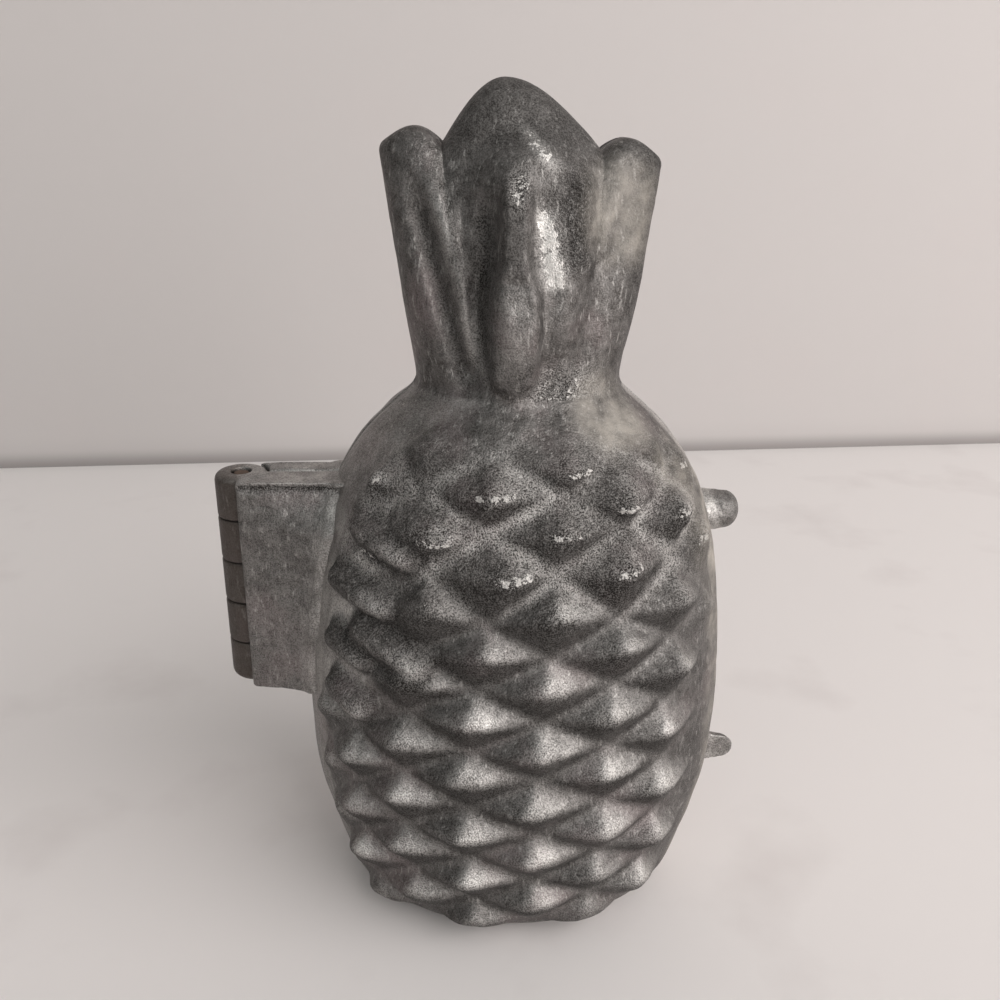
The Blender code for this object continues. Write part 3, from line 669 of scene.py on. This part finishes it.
def set_mask(made, name, values):
    """Writes a value from 0 to 1 on every point, for the material to read."""
    old = made.data.attributes.get(name)
    if old:
        made.data.attributes.remove(old)
    mask = made.data.attributes.new(name, "FLOAT", "POINT")
    mask.data.foreach_set("value", np.ascontiguousarray(np.clip(values, 0.0, 1.0), np.float32).ravel())


def grid_sheet(name, face, side):
    """A grid primitive with its points moved onto a face of the casting, and the points of its four sides."""
    rows, columns = face.shape[:2]
    bpy.ops.object.select_all(action="DESELECT")
    bpy.ops.mesh.primitive_grid_add(x_subdivisions=columns - 1, y_subdivisions=rows - 1, size=2.0)
    sheet = bpy.context.active_object
    sheet.name = name
    start = get_points(sheet)
    j = np.rint((start[:, 0] + 1.0) / 2.0 * (columns - 1)).astype(int)
    i = np.rint((start[:, 1] + 1.0) / 2.0 * (rows - 1)).astype(int)
    here = face[i, j]
    points = np.stack([here[:, 0] + AXIS_X, side * (PART_HALF + here[:, 1]), here[:, 2]], axis=-1) * MM
    set_points(sheet, points)
    return sheet, here, np.stack([j == 0, i == rows - 1, j == columns - 1, i == 0])


def spot(points, x, y, z, radius):
    """1 near a point given in millimetres about the axis, 0 from this radius on."""
    away = np.linalg.norm(points / MM - np.array((x + AXIS_X, y, z)), axis=1)
    return 1.0 - smooth(0.35 * radius, radius, away)


def parted(made, sides, inner):
    """Bridges the edge of the outer face and that of the cavity by the flat parting face, side after side."""
    only(made)
    for ends in sides:
        bpy.ops.object.mode_set(mode="EDIT")
        bpy.ops.mesh.select_mode(type="EDGE")
        bpy.ops.mesh.select_all(action="DESELECT")
        bpy.ops.object.mode_set(mode="OBJECT")
        pairs = np.empty(len(made.data.edges) * 2, np.int32)
        made.data.edges.foreach_get("vertices", pairs)
        a, b = pairs.reshape(-1, 2).T
        made.data.edges.foreach_set("select", ends[a] & ends[b] & (inner[a] == inner[b]))
        bpy.ops.object.mode_set(mode="EDIT")
        bpy.ops.mesh.mark_sharp()
        bpy.ops.mesh.bridge_edge_loops()
    bpy.ops.mesh.select_all(action="SELECT")
    bpy.ops.mesh.normals_make_consistent(inside=False)
    bpy.ops.object.mode_set(mode="OBJECT")


def shell(name, front, seed):
    """One half of the mould: its outer face, its cavity, and the flat parting face between them."""
    draws = np.random.default_rng(seed).uniform(-1.0, 1.0, (6, 8, TOP_ROW + 3))
    side = -1.0 if front else 1.0
    columns = lattice_columns(OUTSIDE_STEPS, OUTSIDE_MARGINS)
    outside = worn_face(casting_face(columns, face_rows(*OUTSIDE_ROWS), 0.0, draws), seed)
    columns = lattice_columns(INSIDE_STEPS, INSIDE_MARGINS)
    inside = casting_face(columns, face_rows(*INSIDE_ROWS), WALL, draws)
    made, outside_here, outside_ends = grid_sheet(name, outside, side)
    cavity, inside_here, inside_ends = grid_sheet(name + "_cavity", inside, side)
    here = np.concatenate([outside_here, inside_here])
    only(made, cavity)
    bpy.ops.object.join()
    points = get_points(made)
    inner = np.arange(len(points)) >= len(outside_here)
    set_mask(made, "inside", inner)
    rim = 1.0 - smooth(0.25, 1.0, here[:, 1])
    # Grime with the scales' painted shade, and painted shadow along the outer edge next to the parting face
    set_mask(made, "grime_and_shade", np.where(inner, 0.4 * here[:, 4], np.maximum(here[:, 4], 0.9 * rim)))
    set_mask(made, "battered", here[:, 5] * (1.0 - inner))
    wear_and_highlight = here[:, 3] * (1.0 - inner)
    oxide_and_light = np.zeros(len(points))
    for x, y, z, radius, most in OXIDE_AND_LIGHT_SPOTS if front else ():
        oxide_and_light = np.maximum(oxide_and_light, most * spot(points, x, y, z, radius))
    set_mask(made, "wear_and_highlight", wear_and_highlight)
    set_mask(made, "bare_and_glint", here[:, 6] * (1.0 - inner))
    # The right side of each half is made pale, partly oxide and partly painted light from the window
    band = smooth(0.84, 0.93, here[:, 0] / half_width(np.clip(here[:, 2], 0.0, NECK_HEIGHT)))
    band = BAND_OXIDE_AND_LIGHT * band * (1.0 - smooth(64.0, 74.0, here[:, 2])) * (1.0 - rim)
    set_mask(made, "oxide_and_light", np.maximum(oxide_and_light, band) * (1.0 - inner))
    parted(made, np.concatenate([outside_ends, inside_ends], axis=1), inner)
    bpy.ops.object.shade_smooth_by_angle(angle=math.radians(42.0))
    return made


def from_frame(name, node_name, voxel):
    """A copy of a CAD node, merged, and remeshed so finely that it can be softened."""
    source = frame["nodes"][node_name]
    made = bpy.data.objects.new(name, source.data.copy())
    bpy.context.scene.collection.objects.link(made)
    only(made)
    bpy.ops.object.mode_set(mode="EDIT")
    bpy.ops.mesh.select_all(action="SELECT")
    bpy.ops.mesh.remove_doubles(threshold=0.00001)
    bpy.ops.object.mode_set(mode="OBJECT")
    remesh = made.modifiers.new("Remesh", "REMESH")
    remesh.mode = "VOXEL"
    remesh.voxel_size = voxel * MM
    bpy.ops.object.modifier_apply(modifier=remesh.name)
    soften = made.modifiers.new("Soften", "SMOOTH")
    soften.factor = 0.5
    soften.iterations = 4
    bpy.ops.object.modifier_apply(modifier=soften.name)
    return made


def body_gap(points):
    """How far outside the plain body each point is, sideways, in millimetres."""
    x, y, z = (points[:, i] / MM for i in range(3))
    z = np.clip(z, 0.0, NECK_HEIGHT)
    width, depth = half_width(z), DEPTH_RATIO * half_width(z)
    surface = width * np.sqrt(np.maximum(0.0, 1.0 - ((np.abs(y) - PART_HALF) / depth) ** 2))
    return np.abs(x - AXIS_X) - surface


def soldered(made, side, seed, wide=1.0, fitted=0.0):
    """Runs a piece's root into the body with a fillet of solder, and dents it, less where it is fitted."""
    sizes = settings().sizes
    points, normals = get_points(made), get_points(made, "normal")
    radius = wide * sizes.solder_fillet / MM
    gap = body_gap(points)
    # A fillet leaves the face of the piece at one radius from the body, and meets the body square on
    near = np.clip(gap, 0.0, radius)
    rise = radius - np.sqrt(np.maximum(0.0, radius**2 - (radius - near) ** 2))
    outwards = normals.copy()
    outwards[:, 0] = 0.0
    outwards[:, 2] *= 0.2
    off_rim = smooth(0.0, 0.8, np.abs(points[:, 1]) / MM - PART_HALF)
    points += outwards * (rise * off_rim)[:, None] * MM
    points[:, 0] += np.where(gap < 0.75, side * wide * 1.6 * MM * (1.0 - smooth(0.35, 0.75, gap)), 0.0)
    dents = sizes.dent_depth * lumps(points / MM, 6.0, seed)
    dents += sizes.pit_depth * np.minimum(0.0, lumps(points / MM, 1.2, seed + 1) + 0.2) * 2.0
    points += normals * (dents * off_rim * (1.0 - fitted))[:, None]
    set_points(made, points)


def smooth_shaded(made):
    only(made)
    bpy.ops.object.shade_smooth_by_angle(angle=math.radians(50.0))
    return made


def leaf(name, node_name, seed, thickness):
    made = from_frame(name, node_name, 0.19)
    points, normals = get_points(made), get_points(made, "normal")
    x, y, z = points[:, 0] / MM - AXIS_X + PIN_FROM_AXIS, points[:, 1] / MM, points[:, 2] / MM
    from_pin = np.hypot(x, y)
    on_barrel = 1.0 - smooth(BARREL_RADIUS, BARREL_RADIUS + 0.3, from_pin)
    # Along the top edge the leaf keeps the thickness it has at the barrel
    over = np.maximum(0.0, np.abs(y) - thickness) * (1.0 - on_barrel)
    y = y - 0.85 * np.sign(y) * over * smooth(HINGE_TOP - 7.0, HINGE_TOP - 1.0, z)
    points[:, 1] = y * MM
    # The knuckles fit closer than their nominal gaps, and so do the leaves' meeting faces
    between = smooth(HINGE_BOTTOM, HINGE_BOTTOM + 1.0, z) * (1.0 - smooth(HINGE_TOP - 1.0, HINGE_TOP, z))
    level = np.sign(normals[:, 2]) * smooth(0.5, 0.9, np.abs(normals[:, 2]))
    points[:, 2] += level * on_barrel * between * KNUCKLE_FIT * MM
    meeting = (np.abs(y) < 0.3) * (1.0 - on_barrel)
    points[:, 1] -= np.sign(y) * meeting * 0.6 * KNUCKLE_FIT * MM
    # A rough seam runs along the front face, under the top edge, and its groove is darkened with painted
    # shade
    seam_z = HINGE_TOP - SEAM_BELOW_TOP + 0.25 * lumps(points / MM * np.array((1.0, 0.0, 0.0)), 3.0, seed + 5)
    front_face = smooth(0.5, 0.9, np.abs(normals[:, 1])) * (1.0 - on_barrel) * (np.abs(y) > 2.0)
    seam = bump_at(z, seam_z, 0.45) * front_face
    # Painted shadow in the crease where the barrel meets the leaf's face
    crease_shadow = bump_at(from_pin, BARREL_RADIUS + 0.3, 0.45) * (x > 0.0) * (np.abs(y) > 1.5)
    # The leaf fits the turning knuckle beside it closer too
    to_pin = -(normals[:, 0] * x + normals[:, 1] * y) / np.maximum(from_pin, 1.0)
    hollow = smooth(0.5, 0.9, to_pin) * (from_pin > BARREL_RADIUS) * (from_pin < BARREL_RADIUS + 1.0)
    points += normals * (1.5 * KNUCKLE_FIT * MM * hollow)[:, None]
    points -= normals * (SEAM_DEPTH * MM * seam)[:, None]
    set_points(made, points)
    soldered(made, 1.0, seed, 1.5, 0.9 * (1.0 - smooth(BARREL_RADIUS + 0.6, BARREL_RADIUS + 1.6, from_pin)))
    left = 1.0 - smooth(-0.6, 0.9, x)
    set_mask(made, "brown", (1.0 - smooth(BARREL_RADIUS, BARREL_RADIUS + 0.6, from_pin)) * left)
    # The leaf's top face is made paler with painted light from above, and the barrel below it a little darker
    lit_top = smooth(HINGE_TOP - 0.9, HINGE_TOP - 0.3, z)
    near_body = 1.0 - smooth(0.8, 3.0, body_gap(points))
    set_mask(made, "wear_and_highlight", most_of(0.45 * lit_top, 0.35 * near_body, 0.1 * (1.0 - on_barrel)))
    set_mask(made, "grime_and_shade", most_of(0.95 * seam, 0.8 * crease_shadow, 0.2 * (1.0 - lit_top) * on_barrel))
    set_mask(made, "battered", 0.8 * bump_at(z, HINGE_TOP - SEAM_BELOW_TOP + 0.3, 0.6) * front_face)
    return smooth_shaded(made)


def lug(name, node_name, seed):
    made = from_frame(name, node_name, 0.2)
    soldered(made, -1.0, seed)
    points = get_points(made)
    root = 1.0 - smooth(0.5, 2.5, body_gap(points))
    set_mask(made, "wear_and_highlight", np.maximum(0.15, 0.9 * root))
    # Painted shade on the lug's outer end
    set_mask(made, "grime_and_shade", 0.6 * smooth(3.2, 5.0, body_gap(points)))
    return smooth_shaded(made)


# Materials


NOISE, RANGE, MATH, MIX = "ShaderNodeTexNoise", "ShaderNodeMapRange", "ShaderNodeMath", "ShaderNodeMix"
PLUS, LESS, TIMES, MOST = (
    {"operation": operation, "use_clamp": True} for operation in ("ADD", "SUBTRACT", "MULTIPLY", "MAXIMUM")
)


def node(tree, kind, inputs=(), out=0, **chosen):
    """Adds a node with its settings and its inputs, values or links, and gives back one of its outputs."""
    made = tree.nodes.new(kind)
    for key, value in chosen.items():
        setattr(made, key, value)
    for key, value in inputs.items() if isinstance(inputs, dict) else enumerate(inputs):
        if isinstance(value, bpy.types.NodeSocket):
            tree.links.new(value, made.inputs[key])
        else:
            made.inputs[key].default_value = value
    return made.outputs[out] if made.outputs else None


def new_material(name):
    made = bpy.data.materials.new(name)
    made.use_nodes = True
    made.node_tree.nodes.clear()
    return made, made.node_tree


def layered(tree, skin, layers):
    """A colour with others laid over it, each by its share."""
    for share, over in layers:
        skin = node(tree, MIX, {0: share, 6: skin, 7: tuple(over)}, 2, data_type="RGBA")
    return skin


def surface(tree, inputs):
    """Ends a material in one Principled shader."""
    shader = node(tree, "ShaderNodeBsdfPrincipled", inputs)
    node(tree, "ShaderNodeOutputMaterial", {"Surface": shader})


def cast_pewter(name, seed):
    """Cast pewter, the old tin alloy of moulds, as it left a sand-smooth chill and a century of handling.

    The eye sees a dark, even grey skin with a grain like fine sandpaper, soft wide highlights, brighter
    metal where the scales' tips were rubbed, and a dry pale bloom in a few corners. Its masks also lay
    painted highlights, glints and shade into the colour."""
    colours = settings().colours
    made, tree = new_material(name)
    place = node(tree, "ShaderNodeTexCoord", (), "Object")
    # Patterns are sized in millimetres, and each casting shows another part of them
    shift = (seed * 13.0, seed * 7.0, 0.0)
    mm = node(tree, "ShaderNodeMapping", {"Vector": place, "Location": shift, "Scale": (1.0 / MM,) * 3})
    upright = node(tree, "ShaderNodeMapping", {"Vector": mm, "Scale": (1.0, 1.0, 0.3)})
    clouds, blotches, mottle, chips, grain, scratches = (
        node(tree, NOISE, {"Vector": where, "Scale": 1.0 / size, "Detail": detail, "Roughness": rough})
        for where, size, detail, rough in (
            (mm, 11.0, 3.0, 0.5),
            (mm, 4.0, 4.0, 0.5),
            (mm, 1.3, 4.0, 0.5),
            (mm, 0.8, 3.0, 0.7),
            (mm, 0.20, 2.0, 0.6),
            (upright, 1.0 / 1.8, 3.0, 0.7),
        )
    )
    inside, wear_and_highlight, grime_and_shade, oxide_and_light, battered, bare_and_glint, brown = (
        node(tree, "ShaderNodeAttribute", (), "Fac", attribute_name=mask)
        for mask in ("inside", "wear_and_highlight", "grime_and_shade", "oxide_and_light", "battered", "bare_and_glint", "brown")
    )
    # The parting faces are wiped clean and rub on each other
    depth = node(tree, "ShaderNodeSeparateXYZ", (place,), "Y")
    depth = node(tree, MATH, (depth,), operation="ABSOLUTE")
    parting = node(tree, RANGE, (depth, PARTING_RUB[0] * MM, PARTING_RUB[1] * MM))
    grime_and_shade = node(tree, MATH, (grime_and_shade, parting), **LESS)
    wear_and_highlight = node(tree, MATH, (wear_and_highlight, node(tree, MATH, (parting, 0.5), **TIMES)), **MOST)

    # Filth and painted shade darken the hollows, the undersides and the chipped spots
    filth_and_shade = node(tree, MATH, (grime_and_shade, node(tree, RANGE, (blotches, 0.30, 0.55, 0.75, 1.0))), **TIMES)
    filth_and_shade = node(tree, MATH, (filth_and_shade, node(tree, RANGE, (grain, 0.35, 0.65, 1.0, 0.7))), **TIMES)
    dark_chips = node(tree, MATH, (battered, node(tree, RANGE, (chips, 0.50, 0.38, 0.0, 0.8))), **TIMES)
    for more in (dark_chips, node(tree, RANGE, (scratches, 0.42, 0.30, 0.0, 0.5))):
        filth_and_shade = node(tree, MATH, (filth_and_shade, more), **MOST)

    # Rubbed metal and painted highlights come through on the worn places, broken up by blotches, chips and
    # grain
    worn_and_highlight = node(tree, RANGE, (wear_and_highlight, 0.0, 0.75))
    rubbed_and_lit = node(tree, MATH, (worn_and_highlight, node(tree, RANGE, (blotches, 0.36, 0.60, 0.4, 1.0))), **TIMES)
    bright_chips = node(tree, MATH, (battered, node(tree, RANGE, (chips, 0.54, 0.64, 0.0, 0.75))), **TIMES)
    bright_chips = node(tree, MATH, (bright_chips, node(tree, RANGE, (wear_and_highlight, 0.0, 0.5, 0.25, 1.0))), **TIMES)
    rubbed_and_lit = node(tree, MATH, (node(tree, MATH, (rubbed_and_lit, bright_chips), **MOST), 0.08), **PLUS)
    rubbed_and_lit = node(tree, MATH, (rubbed_and_lit, node(tree, RANGE, (grain, 0.38, 0.62, 0.5, 1.0))), **TIMES)
    coarse = node(tree, MATH, (node(tree, MATH, (battered, 0.6), **TIMES), 0.12), **PLUS)
    specks = node(tree, MATH, (node(tree, RANGE, (grain, 0.54, 0.36)), coarse), **TIMES)
    rubbed_and_lit = node(tree, MATH, (rubbed_and_lit, node(tree, MATH, (specks, 0.6), **TIMES)), **LESS)
    # Knocks lay the metal bare in ragged spots, which also carry the painted glints on the lips and the crown
    ragged = node(tree, RANGE, (chips, 0.35, 0.65, -0.25, 0.35))
    bare_and_glint = node(tree, MATH, (node(tree, MATH, (bare_and_glint, 0.7), **TIMES), ragged), **PLUS)
    bare_and_glint = node(tree, RANGE, (bare_and_glint, 0.46, 0.60))
    bright = node(tree, MATH, (bare_and_glint, node(tree, RANGE, (grain, 0.3, 0.6, 0.6, 1.0))), **TIMES)
    rubbed_and_lit = node(tree, MATH, (rubbed_and_lit, bright), **MOST)
    # Pale oxide bloom, partly painted light on the right side
    dry_and_lit = node(tree, RANGE, (blotches, 0.34, 0.62, 0.25, 1.0))
    dry_and_lit = node(tree, MATH, (node(tree, RANGE, (oxide_and_light, 0.0, 0.8)), dry_and_lit), **TIMES)

    bloom_and_light = node(tree, MATH, (dry_and_lit, node(tree, RANGE, (mottle, 0.35, 0.65, 0.55, 0.90))), **TIMES)
    layers = (
        (node(tree, RANGE, (mottle, 0.34, 0.66)), colours.patina),
        (node(tree, RANGE, (clouds, 0.52, 0.68, 0.0, 0.5)), colours.patina_warm),
        (node(tree, RANGE, (clouds, 0.46, 0.34, 0.0, 0.35)), colours.filth_and_shade),
        (node(tree, RANGE, (scratches, 0.56, 0.72, 0.0, 0.4)), colours.worn_and_highlight),
        (filth_and_shade, colours.filth_and_shade),
        (specks, colours.filth_and_shade),
        (rubbed_and_lit, colours.worn_and_highlight),
        (bloom_and_light, colours.oxide_and_light),
        (node(tree, MATH, (inside, 0.65), **TIMES), colours.inside),
        (node(tree, MATH, (brown, 0.6), **TIMES), colours.barrel),
    )
    dull_and_shaded = node(tree, MATH, (dry_and_lit, filth_and_shade), **MOST)
    roughness = node(tree, RANGE, (mottle, 0.3, 0.7, 0.46, 0.56))
    roughness = node(tree, MATH, (roughness, node(tree, MATH, (rubbed_and_lit, 0.14), **TIMES)), **LESS)
    metallic = node(tree, MATH, (0.92, node(tree, MATH, (dull_and_shaded, 0.8), **TIMES)), **LESS)
    bump = node(tree, "ShaderNodeBump", {"Strength": 1.0, "Distance": 0.00016, "Height": mottle})
    strength = node(tree, MATH, (coarse, 0.25), **PLUS)
    for share, deep, height in ((battered, 0.0004, chips), (strength, 0.00028, grain)):
        relief = {"Strength": share, "Distance": deep, "Height": height, "Normal": bump}
        bump = node(tree, "ShaderNodeBump", relief)
    surface(
        tree,
        {
            "Base Color": layered(tree, tuple(colours.patina_deep), layers),
            "Roughness": node(tree, MATH, (roughness, node(tree, MATH, (dull_and_shaded, 0.22), **TIMES)), **PLUS),
            "Metallic": node(tree, MATH, (metallic, node(tree, MATH, (bare_and_glint, 0.35), **TIMES)), **LESS),
            "Specular IOR Level": node(tree, MATH, (0.5, node(tree, MATH, (filth_and_shade, 0.4), **TIMES)), **LESS),
            "Normal": bump,
        },
    )
    return made


def iron_wire(name):
    """Drawn iron wire, brown with a thin even rust."""
    made, tree = new_material(name)
    place = node(tree, "ShaderNodeTexCoord", (), "Object")
    rust = node(tree, NOISE, {"Vector": place, "Scale": 1400.0, "Detail": 4.0})
    tint = layered(tree, linear("#3b2f27"), [(rust, linear("#6b5546"))])
    bump = node(tree, "ShaderNodeBump", {"Strength": 0.8, "Distance": 0.00005, "Height": rust})
    surface(tree, {"Base Color": tint, "Metallic": 0.35, "Roughness": 0.62, "Normal": bump})
    return made


def matt(name, tone, stain, size, foot=None):
    """A matt pale surface with faint stains, for the stage. A wall's foot, darkened with painted shade and a
    painted shadow line at the joint, lies at this Y.
    """
    made, tree = new_material(name)
    place = node(tree, "ShaderNodeTexCoord", (), "Object")
    clouds = node(tree, NOISE, {"Vector": place, "Scale": 1.0 / size, "Detail": 5.0})
    layers = [(node(tree, RANGE, (clouds, 0.55, 0.75, 0.0, 0.5)), linear(stain))]
    if foot is not None:
        height = node(tree, "ShaderNodeSeparateXYZ", (place,), "Y")
        # Painted shade darkens the wall near the floor, and a painted shadow line marks the joint
        for reach, most in ((FOOT_SHADE_HEIGHT, 0.10), (JOINT_HEIGHT, 0.55)):
            fade = (height, foot, foot + reach, most, 0.0)
            share = node(tree, RANGE, fade, interpolation_type="SMOOTHSTEP")
            layers.append((share, linear("#5d5755")))
    surface(tree, {"Base Color": layered(tree, tuple(tone), layers), "Roughness": 0.7})
    return made


def dressed(made, material, body, node_name):
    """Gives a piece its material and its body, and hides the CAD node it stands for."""
    made.data.materials.clear()
    made.data.materials.append(material)
    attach(made, body)
    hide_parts(node_name)


# Operators


class MOULD_OT_halves(bpy.types.Operator):
    """Models the two halves of the mould, scales and leaves raised outside and hollowed inside."""

    bl_idname = "mould.halves"
    bl_label = "Halves"

    def execute(self, context):
        for half, front, seed, place in (("front", True, 3, 0.0), ("rear", False, 8, 1.0)):
            made = shell(half + "_half_casting", front, seed)
            metal = cast_pewter(f"Cast pewter, {half} half", place)
            dressed(made, metal, half + "_half", half + "_shell")
        return {"FINISHED"}


class MOULD_OT_leaves(bpy.types.Operator):
    """Models the two leaves of the hinge with their knuckles."""

    bl_idname = "mould.leaves"
    bl_label = "Hinge leaves"

    def execute(self, context):
        for half, seed, thickness, place in (("front", 21, 5.0, 2.0), ("rear", 25, 3.2, 3.0)):
            made = leaf(half + "_leaf_casting", half + "_hinge_leaf", seed, thickness)
            metal = cast_pewter(f"Cast pewter, {half} leaf", place)
            dressed(made, metal, half + "_half", half + "_hinge_leaf")
        return {"FINISHED"}


class MOULD_OT_pin(bpy.types.Operator):
    """Models the iron pin the knuckles turn on."""

    bl_idname = "mould.pin"
    bl_label = "Hinge pin"

    def execute(self, context):
        pin = from_frame("pin_wire", "hinge_pin", 0.12)
        smooth_shaded(pin)
        dressed(pin, iron_wire("Drawn iron wire"), "rear_half", "hinge_pin")
        return {"FINISHED"}


class MOULD_OT_lugs(bpy.types.Operator):
    """Models the two finger lugs that pull the halves apart."""

    bl_idname = "mould.lugs"
    bl_label = "Finger lugs"

    def execute(self, context):
        for half, seed, place in (("front", 31, 4.0), ("rear", 35, 5.0)):
            made = lug(half + "_lug_casting", half + "_lug", seed)
            metal = cast_pewter(f"Cast pewter, {half} lug", place)
            dressed(made, metal, half + "_half", half + "_lug")
        return {"FINISHED"}


def soft_room():
    """A room that is bright towards the window on the right and dim on the left."""
    room = bpy.data.worlds.new("Soft room")
    room.use_nodes = True
    tree = room.node_tree
    tree.nodes.clear()
    towards = node(tree, "ShaderNodeTexCoord", (), "Generated")
    aim = node(tree, "ShaderNodeVectorMath", (towards, TO_WINDOW), "Value", operation="DOT_PRODUCT")
    strength = node(tree, RANGE, (aim, -0.7, 0.9, ROOM_DIM, ROOM_BRIGHT), interpolation_type="SMOOTHSTEP")
    light = node(tree, "ShaderNodeBackground", {"Color": linear("#ebefee"), "Strength": strength})
    node(tree, "ShaderNodeOutputWorld", {"Surface": light})
    return room


def area_light(name, place, aim, size, watts, tint):
    light = bpy.data.lights.new(name, "AREA")
    light.shape = "RECTANGLE"
    light.size, light.size_y = size
    light.energy = watts
    light.color = linear(tint)[:3]
    lamp = bpy.data.objects.new(name, light)
    lamp.location = place
    lamp.rotation_euler = (Vector(aim) - Vector(place)).to_track_quat("-Z", "Y").to_euler()
    bpy.context.scene.collection.objects.link(lamp)


class MOULD_OT_stage(bpy.types.Operator):
    """Lays the pale table and wall, hangs the lamps and sets the camera."""

    bl_idname = "mould.stage"
    bl_label = "Stage"

    def execute(self, context):
        colours = settings().colours
        scene = context.scene
        bpy.ops.object.select_all(action="DESELECT")
        bpy.ops.mesh.primitive_plane_add(size=STAGE_SIZE, location=(0.0, 0.0, 0.0))
        floor = context.active_object
        floor.name = "table_top"
        floor.data.materials.append(matt("Pale table top", colours.floor, "#cfc8c6", 0.03))
        bpy.ops.object.select_all(action="DESELECT")
        half = STAGE_SIZE / 2.0
        bpy.ops.mesh.primitive_plane_add(size=STAGE_SIZE, location=(0.0, WALL_Y, half), rotation=WALL_TURN)
        wall = context.active_object
        wall.name = "wall"
        wall.data.materials.append(matt("Pale wall", colours.wall, "#bfb8b6", 0.05, foot=-half))

        scene.world = soft_room()
        area_light("Window, right", *WINDOW, WINDOW_WATTS, "#fff9f7")
        area_light("Fill, left", *FILL, FILL_WATTS, "#f6fbfa")

        azimuth, pitch, roll = (math.radians(a) for a in (CAMERA_AZIMUTH, CAMERA_PITCH, CAMERA_ROLL))
        level = Vector((math.sin(azimuth), math.cos(azimuth), 0.0))
        forward = math.cos(pitch) * level - Vector((0.0, 0.0, math.sin(pitch)))
        right = Vector((level.y, -level.x, 0.0))
        up = right.cross(forward)
        turned_right = math.cos(roll) * right + math.sin(roll) * up
        turned_up = math.cos(roll) * up - math.sin(roll) * right
        lens = bpy.data.cameras.new("Camera")
        lens.lens, lens.sensor_width = 36.0, 36.0
        lens.clip_start, lens.clip_end = 0.005, 20.0
        camera = bpy.data.objects.new("Camera", lens)
        place = placed(CAMERA_ASIDE - CAMERA_AWAY * level.x, -CAMERA_AWAY * level.y, CAMERA_HEIGHT)
        turned = Matrix((turned_right, turned_up, -forward)).transposed().to_4x4()
        camera.matrix_world = Matrix.Translation(place) @ turned
        scene.collection.objects.link(camera)
        scene.camera = camera
        scene.view_settings.view_transform = "Standard"
        return {"FINISHED"}


class VIEW3D_PT_mould(bpy.types.Panel):
    bl_label = "Mould"
    bl_space_type = "VIEW_3D"
    bl_region_type = "UI"
    bl_category = "Mould"

    def draw(self, context):
        mould = context.scene.pineapple_mould
        for group in (mould.sizes, mould.colours):
            box = self.layout.box()
            for name in group.__annotations__:
                box.prop(group, name)
        for operator in OPERATORS:
            self.layout.operator(operator.bl_idname)


OPERATORS = (MOULD_OT_halves, MOULD_OT_leaves, MOULD_OT_pin, MOULD_OT_lugs, MOULD_OT_stage)
CLASSES = (MouldSizes, MouldColours, MouldSettings) + OPERATORS + (VIEW3D_PT_mould,)


def register():
    for one in CLASSES:
        bpy.utils.register_class(one)
    bpy.types.Scene.pineapple_mould = PointerProperty(type=MouldSettings)


def unregister():
    del bpy.types.Scene.pineapple_mould
    for one in reversed(CLASSES):
        bpy.utils.unregister_class(one)


def main():
    register()
    bpy.ops.mould.halves()
    bpy.ops.mould.leaves()
    bpy.ops.mould.pin()
    bpy.ops.mould.lugs()
    bpy.ops.mould.stage()


if __name__ == "__main__":
    main()
